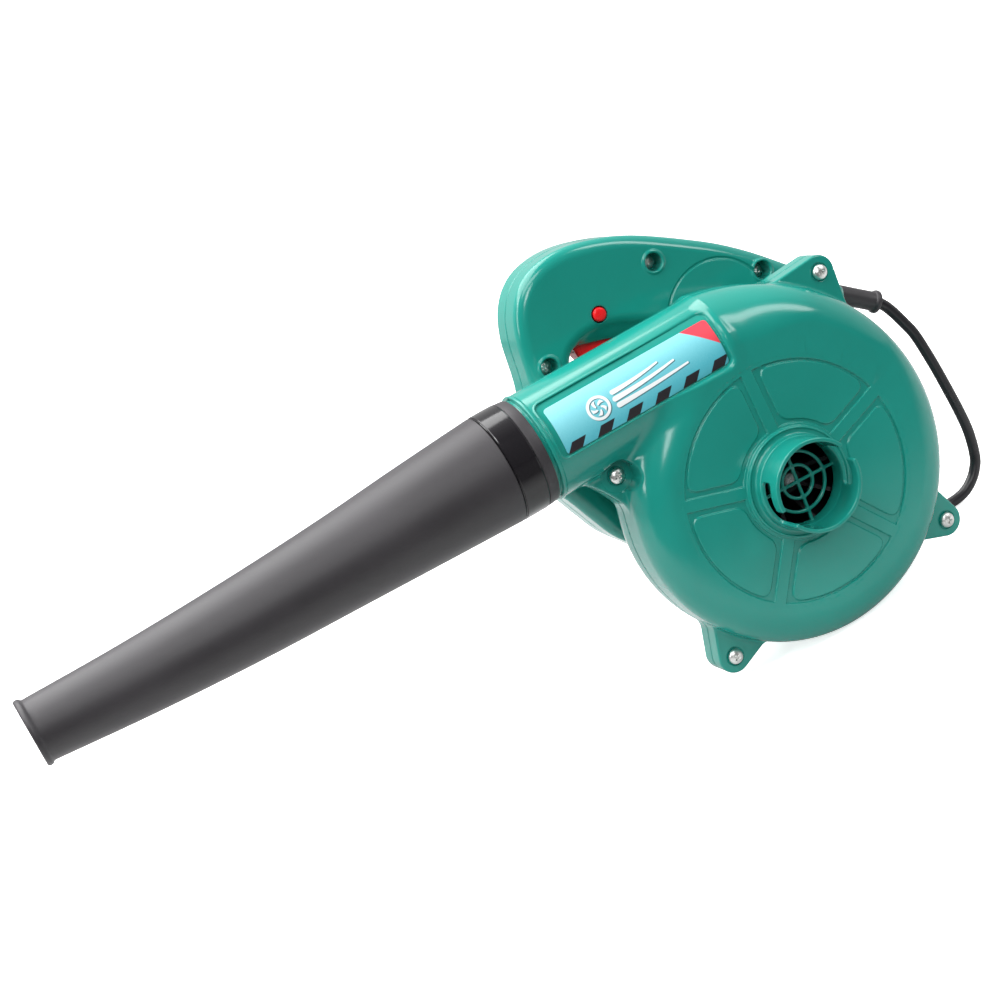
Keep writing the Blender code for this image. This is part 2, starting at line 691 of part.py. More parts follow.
def handle_front_shell():
    outer, finger = handle_loops()
    shell = rounded_plate(outer, [finger], round_layers(HANDLE_FRONT, HANDLE_SPLIT - GAP / 2, HANDLE_ROUND))
    cavity = rounded_plate(outer, [finger], [(HANDLE_FRONT + WALL, WALL + 2), (HANDLE_FRONT + WALL + 3, WALL),
                                             (HANDLE_SPLIT + 2, WALL)])
    shell = cut(shell, cavity)
    bosses = [boss(place, 5.8, HANDLE_FRONT + 2.3, HANDLE_SPLIT - GAP / 2) for place in HANDLE_SCREWS]
    back_screws = [polar(BACK_SCREW_CIRCLE, angle) for angle in BACK_SCREW_ANGLES]
    bosses += [boss(place, 5.5, HANDLE_FRONT + 2, 43) for place in back_screws]
    bosses += [boss(place, 3.0, HANDLE_FRONT + 2, 46.0) for place in clamp_screw_places()]
    shell = join(shell, gathered(bosses), ring(11.3, 14.5, HANDLE_FRONT + 1, 42.0, 24))
    holes = [boss(place, 4.6, HANDLE_FRONT - 2, 41) for place in HANDLE_SCREWS]
    x, z = BUTTON_PLACE
    holes += [cylinder((x, HANDLE_FRONT - 2, z), (0, 1, 0), 8, BUTTON_RADIUS + 0.4, 16)]
    shell = cut(shell, gathered(holes))
    holes = [boss(place, 2.2, 35, 50) for place in HANDLE_SCREWS]
    holes += [boss(place, 2.2, HANDLE_FRONT - 2, 41) for place in back_screws]
    holes += [boss(place, 1.5, 35, 50) for place in clamp_screw_places()]
    holes += [boss((0, 0), 8.0, HANDLE_FRONT - 2, 40)]
    shell = cut(shell, gathered(holes), trigger_slot(), boot_hole())
    finish("handle_front_shell", shell, "green_plastic")


def foot(top, low, bottom):
    """A moulded foot under the motor housing, given by its two x positions at the top and at the bottom."""
    outline = [(top[0], -30), (low[0], bottom), (low[1], bottom), (top[1], -30)]
    return plate(outline, 84, 104)


def vent_slots():
    """Radial cooling slots through the rear wall of the motor housing."""
    slots = []
    for index in range(10):
        slot = box((-1.8, BARREL_END - 9, 17), (1.8, BARREL_END + 3, 34))
        slot.data.transform(Matrix.Rotation(math.radians(36 * index + 18), 4, "Y"))
        slots.append(slot)
    return gathered(slots)


def handle_rear_shell(bottom):
    outer, finger = handle_loops()
    shell = rounded_plate(outer, [finger], round_layers(HANDLE_BACK, HANDLE_SPLIT + GAP / 2, HANDLE_ROUND))
    barrel = turned([(0, BARREL_END), (36, BARREL_END), (43, BARREL_END - 3), (BARREL_RADIUS, BARREL_END - 9),
                     (BARREL_RADIUS, 55), (0, 55)], steps=32)
    shell = join(shell, barrel, foot((-34, -14), (-26, -14), bottom),
                 foot((20, 36), (33, 50), bottom))
    cavity = rounded_plate(outer, [finger], [(HANDLE_BACK - WALL, WALL + 2), (HANDLE_BACK - WALL - 3, WALL),
                                             (HANDLE_SPLIT - 2, WALL)])
    hollow = turned([(0, BARREL_END - 3), (35, BARREL_END - 3), (41, BARREL_END - 6), (44, BARREL_END - 10),
                     (44, 40), (0, 40)], steps=32)
    shell = cut(shell, join(cavity, hollow))
    bosses = [boss(place, 5.8, HANDLE_SPLIT + GAP / 2, HANDLE_BACK - 2.3) for place in HANDLE_SCREWS]
    shell = join(shell, gathered(bosses), ring(9.8, 12.5, 108.7, BARREL_END - 2, 24))
    holes = [boss(place, 2.2, 40, 61) for place in HANDLE_SCREWS]
    shell = cut(shell, gathered(holes), trigger_slot(), boot_hole(), vent_slots())
    finish("handle_rear_shell", shell, "green_plastic")


def trigger():
    """The switch lever, pivoted inside the grip; its origin is on the pivot."""
    outline = [(-52.3, 104.0), (-52.7, 97.6), (-51.0, 92.6), (-46.0, 90.6), (-38.0, 90.4), (-28.0, 89.0),
               (-18.5, 87.4), (-14.8, 89.5), (-14.0, 98.0), (-20, 104.5), (-34, 107.0), (-48, 107.0)]
    lever = plate(outline, HANDLE_SPLIT - TRIGGER_WIDTH / 2, HANDLE_SPLIT + TRIGGER_WIDTH / 2)
    pivot = (TRIGGER_PIVOT[0], HANDLE_SPLIT, TRIGGER_PIVOT[1])
    outline = [(-22, 98), (-10, 97.6), (-6.6, 101), (-10, 104.4), (-22, 104)]
    arm = plate(outline, HANDLE_SPLIT - 3, HANDLE_SPLIT + 3)
    arm = cut(arm, boss(TRIGGER_PIVOT, 1.9, HANDLE_SPLIT - 9, HANDLE_SPLIT + 9))
    finish("trigger", join(lever, arm), "red_plastic", origin=pivot)
    pin = boss(TRIGGER_PIVOT, 1.6, 34, 62)
    finish("trigger_pin", pin, "steel")


def lock_button():
    x, z = BUTTON_PLACE
    profile = [(0, 0), (BUTTON_RADIUS - 0.9, 0), (BUTTON_RADIUS, -0.9), (BUTTON_RADIUS, -6.5), (4.4, -6.5),
               (4.4, -8.0), (0, -8.0)]
    button = turned(profile, (x, HANDLE_FRONT - 1.0, z), (0, -1, 0), steps=24)
    finish("lock_button", button, "red_plastic", origin=(x, HANDLE_FRONT, z))


def switch_and_capacitor():
    finish("switch_body", box((-44, 42.6, 112.3), (-12, 56, 131)), "switch_plastic")
    finish("capacitor", cylinder((30, 38, 98), (0, 1, 0), 20, 7.0, 20), "capacitor_yellow")


# ---------------------------------------------------------------- cord
def strain_relief():
    """The rubber sleeve, with a collar held in the housing and a bead at its outer end."""
    length, inner = BOOT_LENGTH, CORD_RADIUS + GAP
    profile = [(inner, 0), (BOOT_RADIUS, 0), (BEAD_RADIUS, -0.9), (BEAD_RADIUS, -3.0),
               (BOOT_RADIUS, -4.2), (BOOT_RADIUS, -length), (inner, -length)]
    sleeve = turned(profile, BOOT_END, BOOT_DIRECTION, closed=True, steps=16)
    finish("strain_relief", sleeve, "black_rubber")


def cord_clamp():
    x, z = clamp_place()
    y0 = HANDLE_SPLIT + CORD_RADIUS + GAP
    bar = box((x - 3.5, y0, z - 9), (x + 3.5, y0 + 3, z + 9))
    holes = [boss(place, 1.5, 40, 64) for place in clamp_screw_places()]
    finish("cord_clamp", cut(bar, gathered(holes)), "switch_plastic")
    for number, (px, pz) in enumerate(clamp_screw_places(), 1):
        screw("clamp_screw_%d" % number, (px, y0 + 3 + GAP, pz), (0, 1, 0), 2.2, 1.6, 1.2, 16)


def power_cord(floor):
    """The lead from its clamp through the strain relief, down to the surface and back to its coil."""
    lie = floor + CORD_RADIUS + CORD_LIE
    centre, meets = inner_bend()
    bend = arc(centre, INNER_BEND_RADIUS, 90, meets, 4)
    route = [Vector((bend[0][0] - INNER_TAIL, HANDLE_SPLIT, bend[0][1]))]
    route += [Vector((x, HANDLE_SPLIT, z)) for x, z in bend]
    route += [Vector(boot_place(distance)) for distance in (25, 3)]
    route += [Vector((x, y, floor + height)) for x, y, height in CORD_ROUTE]
    route += [Vector((x, y, lie)) for x, y in CORD_FLOOR_ROUTE]
    route += [Vector((CORD_FLOOR_ROUTE[-1][0], CORD_TAIL, lie))]
    points = smooth_path(route, 2)
    curve = bpy.data.curves.new("lead", "CURVE")
    curve.dimensions = "3D"
    curve.bevel_depth = CORD_RADIUS * 0.001
    curve.bevel_resolution = 2
    curve.use_fill_caps = True
    spline = curve.splines.new("POLY")
    spline.points.add(len(points) - 1)
    for target, point in zip(spline.points, points):
        target.co = (*mm(point.x, point.y, max(point.z, lie)), 1)
    lead = bpy.data.objects.new("lead", curve)
    PARTS.objects.link(lead)
    finish("power_cord", baked(lead), "cord_pvc")


def cord_coil(floor):
    """The spare length, coiled flat behind the machine, held by a tie."""
    x, y = COIL_CENTRE
    z = floor + CORD_LIE
    outer, inner = COIL_RADIUS + COIL_HALF_WIDTH, COIL_RADIUS - COIL_HALF_WIDTH
    top, shoulder = COIL_HEIGHT, COIL_HEIGHT - COIL_ROUND
    profile = [(inner + COIL_ROUND, top), (outer - COIL_ROUND, top), (outer, shoulder),
               (outer, COIL_ROUND), (outer - COIL_ROUND, 0), (inner + COIL_ROUND, 0),
               (inner, COIL_ROUND), (inner, shoulder)]
    coil = turned(profile, (x, y, z), (0, 0, 1), closed=True, steps=24)
    finish("cord_coil", coil, "cord_pvc")


def plug(floor):
    """A moulded two-pin plug lying on the coil."""
    tail, y = PLUG_TAIL
    face = tail + PLUG_LENGTH
    axis = floor + CORD_LIE + COIL_HEIGHT + GAP + PLUG_RADIUS
    profile = [(0, 0), (PLUG_RADIUS - 1, 0), (PLUG_RADIUS, -1.5), (PLUG_RADIUS, -20), (14, -28),
               (7.5, -33), (6.0, -PLUG_LENGTH), (0, -PLUG_LENGTH)]
    finish("plug_body", turned(profile, (face, y, axis), (1, 0, 0), steps=16), "cord_pvc")
    for name, side in (("front", -1), ("back", 1)):
        pin = cylinder((face + GAP, y + side * PIN_SPREAD, axis), (1, 0, 0), 19.0, 2.4, 12)
        finish("plug_pin_" + name, pin, "zinc")


# ---------------------------------------------------------------- assembly
def lowest_of_volute(steps=SCROLL_STEPS):
    """The lowest point of the scroll, where the machine touches the surface."""
    heights = [polar(scroll_radius(360 * step / steps), 360 * step / steps)[1] for step in range(steps)]
    return min(heights)


def main():
    floor = lowest_of_volute()
    volute_shells()
    label_plate()
    for number, ((x, z), _, _) in enumerate(LUGS, 1):
        screw("volute_screw_%d" % number, (x, -LUG_HALF - GAP, z), (0, -1, 0), 4.0, 2.6, 1.9, 16)
    for number, angle in enumerate(BACK_SCREW_ANGLES, 1):
        x, z = polar(BACK_SCREW_CIRCLE, angle)
        screw("volute_back_screw_%d" % number, (x, HALF_DEPTH - WALL - GAP, z), (0, -1, 0), 3.6, 2.2, 1.8, 12)
    nozzle()
    impeller()
    rotor()
    stator()
    brushes()
    handle_front_shell()
    handle_rear_shell(floor)
    for number, (x, z) in enumerate(HANDLE_SCREWS, 1):
        screw("handle_screw_%d" % number, (x, 41 - GAP, z), (0, -1, 0), 3.9, 2.5, 1.8, 18)
    trigger()
    lock_button()
    switch_and_capacitor()
    strain_relief()
    cord_clamp()
    power_cord(floor)
    cord_coil(floor)
    plug(floor)
    BLOWER.location = mm(-CENTRE_X, -CENTRE_Y, -floor)
    bpy.context.view_layer.update()


clear_scene()
PARTS = bpy.data.collections.new("leaf_blower")
bpy.context.scene.collection.children.link(PARTS)
BLOWER = bpy.data.objects.new("blower", None)
PARTS.objects.link(BLOWER)
main()
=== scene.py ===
"""The corded leaf blower's looks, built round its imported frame.

Shapes are worked out in millimetres about the fan: the fan axis is Y through (0, 0), the intake faces -Y,
the nozzle points along -X and Z is up.  FAN is the fan centre's place in the frame.
The moulded shells are distance fields: negative inside the plastic, zero on its surface.
"""

import math

import bmesh
import bpy
import numpy as np
from mathutils import Matrix, Vector


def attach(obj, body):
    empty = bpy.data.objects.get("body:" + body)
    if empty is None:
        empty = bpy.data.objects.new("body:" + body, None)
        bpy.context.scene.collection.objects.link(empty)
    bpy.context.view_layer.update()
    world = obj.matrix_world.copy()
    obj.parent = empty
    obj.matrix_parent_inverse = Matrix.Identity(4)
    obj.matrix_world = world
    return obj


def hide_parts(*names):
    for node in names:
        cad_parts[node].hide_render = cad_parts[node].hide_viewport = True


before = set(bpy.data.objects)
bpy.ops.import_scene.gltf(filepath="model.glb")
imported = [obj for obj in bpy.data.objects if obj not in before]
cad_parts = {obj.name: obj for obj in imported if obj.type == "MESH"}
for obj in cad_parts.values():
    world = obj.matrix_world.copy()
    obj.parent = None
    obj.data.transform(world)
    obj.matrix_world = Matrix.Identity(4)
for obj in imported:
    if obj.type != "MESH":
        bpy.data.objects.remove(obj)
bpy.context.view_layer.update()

# ---------------------------------------------------------------- sizes shared with the frame (millimetres)
FAN = np.array((131.3, -32.8, 85.829))
WALL = 2.5
HALF_DEPTH = 30.0
FRONT_CORNER, REAR_CORNER = 17.5, 25.0
SHOULDER_START, SHOULDER_END, SHOULDER_GROWTH = 55.0, 160.0, 10.8    # degrees round the fan, and millimetres
TUBE_HEIGHT, TUBE_RADIUS, TUBE_END = 75.5, 28.3, -108.5
SPIGOT_RADIUS, SPIGOT_END = 26.2, -127.5
LABEL_MIDDLE, LABEL_TILT, LABEL_HALF_LENGTH, LABEL_HALF_HEIGHT = -53.6, 16.3, 48.0, 13.25
RECESS_DEPTH = 0.9
COLLAR_OUTER, COLLAR_BORE, COLLAR_RIM = 23.8, 21.4, -53.4
FLANGE_RADIUS = 28.2
COLLAR_MIDDLE, COLLAR_HALF_WALL = 22.6, 1.2
NOTCH_ANGLES, NOTCH_HALF, SLOT_TURN = (18.8, 198.8), 12.25, 36.0     # degrees round the fan
NOTCH_DEPTH, SLOT_MIDDLE, SLOT_HALF = 9.0, 11.5, 4.5                 # behind the collar's rim
GUARD_RINGS, GUARD_HALF, GUARD_LEVEL = (8.5, 15.5), 0.85, -29.5
LUG_HALF, LUG_RADIUS = 9.0, 8.8
LEFT_LUG_FROM = -70.0         # only the left lug, a hollowed web, lies beyond this x
LUGS = (                      # screw centre, then where the lug's two sides leave the volute
    ((67.0, 83.5), (36.0, 90.0), (74.0, 58.0)),
    ((76.9, -67.8), (78.0, -48.0), (55.0, -69.0)),
    ((-62.3, -70.5), (-65.0, -48.0), (-38.0, -70.0)),
    ((-78.1, 44.3), (-96.5, 51.0), (-77.0, 23.0)),
)
BACK_SCREWS = [(36 * math.cos(math.radians(a)), 36 * math.sin(math.radians(a))) for a in (30, 150, 270)]
HANDLE_FRONT, HANDLE_SPLIT, HANDLE_BACK = 31.0, 48.0, 65.0
BARREL_RADIUS, BARREL_END = 47.5, 119.0
VENT_PITCH, VENT_REACH, VENT_HALF_WIDTH = 36.0, (18.8, 32.2), 1.8     # the slots in the barrel's end
HANDLE_OUTLINE = (
    (94.0, 50.5), (97.0, 60.0), (90.0, 68.5), (79.5, 79.0), (68.4, 90.1), (53.4, 104.1), (34.0, 118.8),
    (0.0, 139.3), (-25.5, 148.6), (-45.0, 151.0), (-61.5, 147.3), (-73.5, 137.0), (-80.8, 120.5),
    (-85.3, 93.6), (-94.3, 70.0), (-101.5, 48.0), (-93.0, 33.0), (-86.0, 18.0), (-79.5, 5.0), (-70.0, -7.0),
    (-53.0, -27.0), (-33.0, -44.0), (0.0, -53.0), (34.0, -40.0), (52.0, -12.0), (60.0, 15.0),
    (74.0, 34.0), (88.0, 42.5),
)
FINGER_OUTLINE = (
    (-59.5, 98.0), (-53.0, 102.8), (-43.7, 104.6), (-33.0, 103.3), (-16.0, 95.8), (10.0, 80.5),
    (32.0, 66.0), (45.0, 52.0), (40.0, 42.5), (22.0, 48.5), (0.0, 53.0), (-26.0, 46.5), (-45.0, 28.5),
    (-50.5, 8.0), (-54.0, 0.0), (-61.5, 7.0), (-69.5, 21.0), (-76.0, 38.0), (-76.0, 58.0), (-67.7, 79.5),
)
INNER_FINGER_OUTLINE = (      # further in, the grip swells downward; the rest stays
    (-59.5, 97.6), (-53.0, 101.4), (-43.7, 99.4), (-33.0, 96.3), (-16.0, 89.5), (10.0, 76.5),
    (32.0, 64.0), (45.0, 51.5),
) + FINGER_OUTLINE[8:]
HANDLE_SCREWS = ((-72.3, 100.4), (3.1, 122.3), (56.8, 90.4), (-87.5, 50.0), (66.0, 46.0))
BUTTON_PLACE = (-35.8, 112.0)
TRIGGER_OUTLINE = (
    (-52.3, 104.0), (-52.7, 97.6), (-51.0, 92.6), (-46.0, 90.6), (-38.0, 90.4), (-28.0, 89.0),
    (-18.5, 87.4), (-14.8, 89.5), (-14.0, 98.0), (-20.0, 104.5), (-34.0, 107.0), (-48.0, 107.0),
)
TRIGGER_PIVOT = (-10.0, 101.0)
NOZZLE_STATIONS = (           # x, height of the centre, outer radius
    (-130.3, 75.5, 28.6), (-175.0, 74.5, 26.2), (-217.0, 73.4, 23.7), (-277.0, 72.7, 20.9),
    (-335.0, 73.8, 18.1), (-382.0, 76.0, 15.9),
)
BOOT_END = np.array((119.2, 48.0, 39.1))
BOOT_DIRECTION = np.array((0.8, 0.0, -0.6))
CORD_RADIUS = 3.1
CORD_ROUTE = (                # x, y and height above the floor
    (121.5, 48.0, 122.2), (124.8, 47.8, 116.6), (128.9, 47.5, 106.8), (131.9, 47.3, 98.0),
    (134.6, 47.0, 81.3), (136.3, 46.6, 65.3), (137.7, 46.2, 47.9), (137.9, 45.9, 33.9),
    (135.6, 45.6, 20.3), (132.2, 45.5, 13.7), (127.3, 45.5, 8.6), (119.8, 45.6, 4.6),
    (109.5, 46.8, 3.15), (98.5, 52.0, 3.15), (88.5, 62.0, 3.15), (82.5, 76.0, 3.15), (81.0, 92.0, 3.15),
    (81.0, 112.0, 3.15), (81.0, 135.0, 3.25), (81.0, 152.0, 3.4),
)
COIL_CENTRE = (37.6, 165.0)
PLUG_TAIL = (37.6, 134.4, 37.15)


# ---------------------------------------------------------------- camera
def camera():
    data = bpy.data.cameras.new("camera")
    data.lens = 73.08
    data.sensor_width = 36.0
    data.clip_start = 0.01
    right = Vector((0.83976682, -0.33068235, -0.43062845))
    down = Vector((-0.48381204, -0.09580258, -0.86991251))
    forward = Vector((0.2464094, 0.93886689, -0.24043994))
    turn = Matrix((right, -down, -forward)).transposed().to_4x4()
    obj = bpy.data.objects.new("camera", data)
    obj.matrix_world = Matrix.Translation((-0.25012, -0.97187, 0.38740)) @ turn
    bpy.context.scene.collection.objects.link(obj)
    bpy.context.scene.camera = obj


# ---------------------------------------------------------------- materials
class Nodes:
    """Short ways to add shader nodes to one material."""

    def __init__(self, tree):
        self.tree = tree

    def add(self, kind, **inputs):
        node = self.tree.nodes.new(kind)
        for name, value in inputs.items():
            self.put(node, name.replace("_", " "), value)
        return node

    def put(self, node, socket, value):
        target = node.inputs[socket]
        if isinstance(value, bpy.types.NodeSocket):
            self.tree.links.new(value, target)
        else:
            target.default_value = value

    def math(self, operation, first, second=0.0, third=0.0, clamp=False):
        node = self.tree.nodes.new("ShaderNodeMath")
        node.operation = operation
        node.use_clamp = clamp
        for index, value in enumerate((first, second, third)):
            self.put(node, index, value)
        return node.outputs[0]

    def noise(self, place, scale, detail=3.0, rough=0.55):
        node = self.add("ShaderNodeTexNoise", Scale=scale, Detail=detail, Roughness=rough)
        self.tree.links.new(place, node.inputs["Vector"])
        return node.outputs["Fac"]

    def ramp(self, value, low, high, out_low, out_high):
        node = self.tree.nodes.new("ShaderNodeMapRange")
        for index, number in enumerate((value, low, high, out_low, out_high)):
            self.put(node, index, number)
        return node.outputs[0]

    def mix(self, factor, first, second):
        node = self.tree.nodes.new("ShaderNodeMix")
        node.data_type = "RGBA"
        self.put(node, 0, factor)
        self.put(node, 6, first)
        self.put(node, 7, second)
        return node.outputs[2]


def surface(name, colour, rough, metallic=0.0, vary=0.06, rough_vary=0.05, grain=900.0, bump=0.04,
            specular=0.5, coat=0.0, coat_rough=0.05):
    """A moulded or machined surface: faint colour clouds, uneven gloss and a fine grain."""
    material = bpy.data.materials.new(name)
    material.use_nodes = True
    nodes = Nodes(material.node_tree)
    shader = material.node_tree.nodes["Principled BSDF"]
    place = nodes.add("ShaderNodeTexCoord").outputs["Object"]
    cloud = nodes.noise(place, 22.0, 4.0)
    fine = nodes.noise(place, grain, 3.0)
    dark = tuple(c * (1 - vary) for c in colour) + (1.0,)
    light = tuple(min(1.0, c * (1 + vary)) for c in colour) + (1.0,)
    nodes.put(shader, "Base Color", nodes.mix(nodes.ramp(cloud, 0.3, 0.7, 0.0, 1.0), dark, light))
    both = nodes.math("ADD", nodes.math("MULTIPLY", cloud, 0.6), nodes.math("MULTIPLY", fine, 0.4))
    gloss = nodes.ramp(both, 0.3, 0.7, max(0.02, rough - rough_vary), rough + rough_vary)
    nodes.put(shader, "Roughness", gloss)
    shader.inputs["Metallic"].default_value = metallic
    shader.inputs["Specular IOR Level"].default_value = specular
    shader.inputs["Coat Weight"].default_value = coat
    shader.inputs["Coat Roughness"].default_value = coat_rough
    relief = nodes.add("ShaderNodeBump", Strength=bump, Distance=0.0004, Height=fine)
    nodes.put(shader, "Normal", relief.outputs["Normal"])
    return material


# The label's print, in millimetres from its lower left corner
EMBLEM_MIDDLE, EMBLEM_RADIUS, SHADOW_SHIFT = (24.5, 13.2), 5.6, (0.35, -0.55)
AIR_STREAKS = (               # start, end, height, half thickness and rise at the far end
    (34.5, 76.0, 9.4, 1.35, 1.5), (34.0, 70.0, 13.0, 1.35, 2.6), (34.5, 62.0, 16.6, 1.25, 2.2),
)
BLOCK_PITCH, BLOCK_HALF = 16.9, 4.1


def label_material():
    """Printed film: a turquoise fade, a red corner, slanted black blocks and white streaks of air."""
    material = bpy.data.materials.new("label_print")
    material.use_nodes = True
    nodes = Nodes(material.node_tree)
    shader = material.node_tree.nodes["Principled BSDF"]
    art = nodes.tree.nodes.new("ShaderNodeAttribute")
    art.attribute_name = "art"
    parts = nodes.tree.nodes.new("ShaderNodeSeparateXYZ")
    nodes.tree.links.new(art.outputs["Vector"], parts.inputs[0])
    u, v = parts.outputs[0], parts.outputs[1]
    place = nodes.add("ShaderNodeTexCoord").outputs["Object"]
    fine = nodes.noise(place, 1500.0, 2.0)

    def plus(first, second):
        return nodes.math("ADD", first, second)

    def minus(first, second):
        return nodes.math("SUBTRACT", first, second)

    def times(first, second):
        return nodes.math("MULTIPLY", first, second)

    def larger(first, second):
        return nodes.math("MAXIMUM", first, second)

    def smaller(first, second):
        return nodes.math("MINIMUM", first, second)

    def length(first, second):
        return nodes.math("SQRT", plus(times(first, first), times(second, second)))

    def inside(value, edge=0.06):
        """1 where a signed distance in millimetres is negative, with a thin soft edge."""
        return nodes.ramp(value, edge, -edge, 0.0, 1.0)

    def streak(du, dv, start, end, low, thick, lift):
        """A rounded air streak between two u positions, bending up towards its end."""
        across = minus(u, start + du)
        share = nodes.math("DIVIDE", across, end - start, clamp=True)
        bend = times(times(share, share), lift)
        height = minus(minus(v, low + dv), bend)
        past = minus(across, times(share, end - start))
        width = nodes.math("MULTIPLY_ADD", share, -0.62 * thick, thick)
        return minus(length(height, past), width)

    def emblem(du, dv):
        """A fan wheel of five blades in a ring, with three streaks leaving it."""
        x = minus(u, EMBLEM_MIDDLE[0] + du)
        y = minus(v, EMBLEM_MIDDLE[1] + dv)
        reach = length(x, y)
        ring = minus(nodes.math("ABSOLUTE", minus(reach, EMBLEM_RADIUS)), 0.75)
        turn = plus(nodes.math("ARCTAN2", y, x), times(reach, 0.22))
        wave = nodes.math("SINE", times(turn, 5.0))
        blade = larger(times(minus(0.15, wave), 0.8), minus(reach, 4.1))
        blade = larger(blade, minus(1.3, reach))
        shape = smaller(ring, blade)
        for sizes in AIR_STREAKS:
            shape = smaller(shape, streak(du, dv, *sizes))
        return shape

    fade = plus(times(v, 0.028), times(fine, 0.22))
    fade = minus(fade, times(u, 0.002))
    fade = nodes.ramp(fade, 0.1, 0.95, 0.0, 1.0)
    print_colour = nodes.mix(fade, (0.10, 0.52, 0.62, 1), (0.34, 0.78, 0.84, 1))
    corner = plus(times(minus(u, 2 * LABEL_HALF_LENGTH), 1.03), minus(v, 11.0))
    red = times(corner, -0.7)
    print_colour = nodes.mix(inside(red), print_colour, (0.80, 0.055, 0.085, 1))
    lean = minus(u, times(v, 0.80))
    cell = nodes.math("MODULO", minus(lean, 0.4), BLOCK_PITCH)
    block = minus(nodes.math("ABSOLUTE", minus(cell, BLOCK_HALF)), BLOCK_HALF)
    block = larger(times(block, 0.78), minus(v, 4.9))
    print_colour = nodes.mix(inside(block), print_colour, (0.022, 0.019, 0.023, 1))
    shadow = times(inside(emblem(*SHADOW_SHIFT), 0.18), 0.85)
    print_colour = nodes.mix(shadow, print_colour, (0.03, 0.07, 0.09, 1))
    print_colour = nodes.mix(inside(emblem(0.0, 0.0)), print_colour, (0.93, 0.95, 0.95, 1))
    nodes.put(shader, "Base Color", print_colour)
    nodes.put(shader, "Roughness", nodes.ramp(fine, 0.3, 0.7, 0.30, 0.42))
    shader.inputs["Specular IOR Level"].default_value = 0.45
    relief = nodes.add("ShaderNodeBump", Strength=0.05, Distance=0.0003, Height=fine)
    nodes.put(shader, "Normal", relief.outputs["Normal"])
    return material


def lined(material, direction, scale, distortion, detail, strength, distance):
    """Adds fine raised lines: wire wound side by side, or stacked sheet steel."""
    nodes = Nodes(material.node_tree)
    shader = material.node_tree.nodes["Principled BSDF"]
    place = nodes.add("ShaderNodeTexCoord").outputs["Object"]
    wave = nodes.add("ShaderNodeTexWave", Scale=scale, Distortion=distortion, Detail=detail)
    wave.bands_direction = direction
    nodes.tree.links.new(place, wave.inputs["Vector"])
    relief = nodes.add("ShaderNodeBump", Strength=strength, Distance=distance, Height=wave.outputs["Fac"])
    nodes.put(shader, "Normal", relief.outputs["Normal"])


SURFACES = {                  # colour, roughness and what differs from surface()'s own values
    "green_plastic": ((0.011, 0.268, 0.218), 0.17, dict(vary=0.03, rough_vary=0.03, grain=700.0, bump=0.012,
                                                        coat=0.12, coat_rough=0.04)),
    "black_rubber": ((0.036, 0.033, 0.037), 0.46, dict(vary=0.12, grain=1500.0, bump=0.10)),
    "black_gloss": ((0.012, 0.011, 0.013), 0.13, dict(vary=0.08, rough_vary=0.03, bump=0.02)),
    "red_plastic": ((0.95, 0.012, 0.016), 0.30, dict(vary=0.04, bump=0.03, specular=0.35)),
    "zinc": ((0.84, 0.84, 0.82), 0.36, dict(metallic=1.0, vary=0.10, rough_vary=0.12, bump=0.12)),
    "steel": ((0.55, 0.55, 0.56), 0.28, dict(metallic=1.0, vary=0.08, bump=0.05)),
    "black_steel": ((0.012, 0.012, 0.013), 0.60, dict(metallic=0.3, vary=0.10, bump=0.08)),
    "lamination": ((0.20, 0.20, 0.21), 0.45, dict(metallic=0.9, vary=0.12, bump=0.1)),
    "copper": ((0.60, 0.23, 0.10), 0.33, dict(metallic=0.9, vary=0.15, bump=0.1)),
    "brass": ((0.62, 0.45, 0.18), 0.32, dict(metallic=1.0, vary=0.08, bump=0.05)),
    "carbon": ((0.035, 0.035, 0.038), 0.55, dict(metallic=0.1, vary=0.2, bump=0.15)),
    "fan_plastic": ((0.013, 0.010, 0.015), 0.42, dict(vary=0.15, bump=0.08)),
    "switch_plastic": ((0.025, 0.025, 0.027), 0.48, dict(vary=0.12, bump=0.06)),
    "cord_pvc": ((0.014, 0.013, 0.016), 0.30, dict(vary=0.12, grain=1100.0, bump=0.05)),
    "capacitor_yellow": ((0.70, 0.50, 0.08), 0.42, dict(vary=0.08, bump=0.05)),
}


def make_materials():
    looks = {name: surface(name, colour, rough, **rest) for name, (colour, rough, rest) in SURFACES.items()}
    looks["label"] = label_material()
    lined(looks["copper"], "X", 320.0, 1.2, 1.0, 0.8, 0.0003)
    lined(looks["lamination"], "Y", 620.0, 0.1, 0.0, 0.6, 0.0002)
    return looks


# ---------------------------------------------------------------- distance-field arithmetic
def soft_min(a, b, k):
    """The nearer of two fields, with a fillet of about k millimetres where they meet."""
    h = np.maximum(k - np.abs(a - b), 0.0) / k
    return np.minimum(a, b) - h * h * k * 0.25


def soft_max(a, b, k):
    return -soft_min(-a, -b, k)


def rounded(a, b, radius):
    """The solid inside two crossing faces, with their shared edge rounded."""
    a = a + radius
    b = b + radius
    return np.minimum(np.maximum(a, b), 0.0) + np.hypot(np.maximum(a, 0.0), np.maximum(b, 0.0)) - radius


def box_field(p, low, high, radius):
    middle = (np.array(low) + np.array(high)) / 2
    half = (np.array(high) - np.array(low)) / 2 - radius
    q = np.abs(p - middle) - half
    return np.minimum(q.max(1), 0.0) + np.sqrt((np.maximum(q, 0.0) ** 2).sum(1)) - radius


def spans(before, start, end, after, per_span):
    """The points of a Catmull-Rom curve's spans, all but each span's last point."""
    t = (np.arange(per_span) / per_span)[None, :, None]
    a, b, c, d = (q[:, None] for q in (before, start, end, after))
    bend, twist = 2 * a - 5 * b + 4 * c - d, 3 * b - a - 3 * c + d
    return ((2 * b + (c - a) * t + bend * t ** 2 + twist * t ** 3) / 2).reshape(-1, start.shape[1])


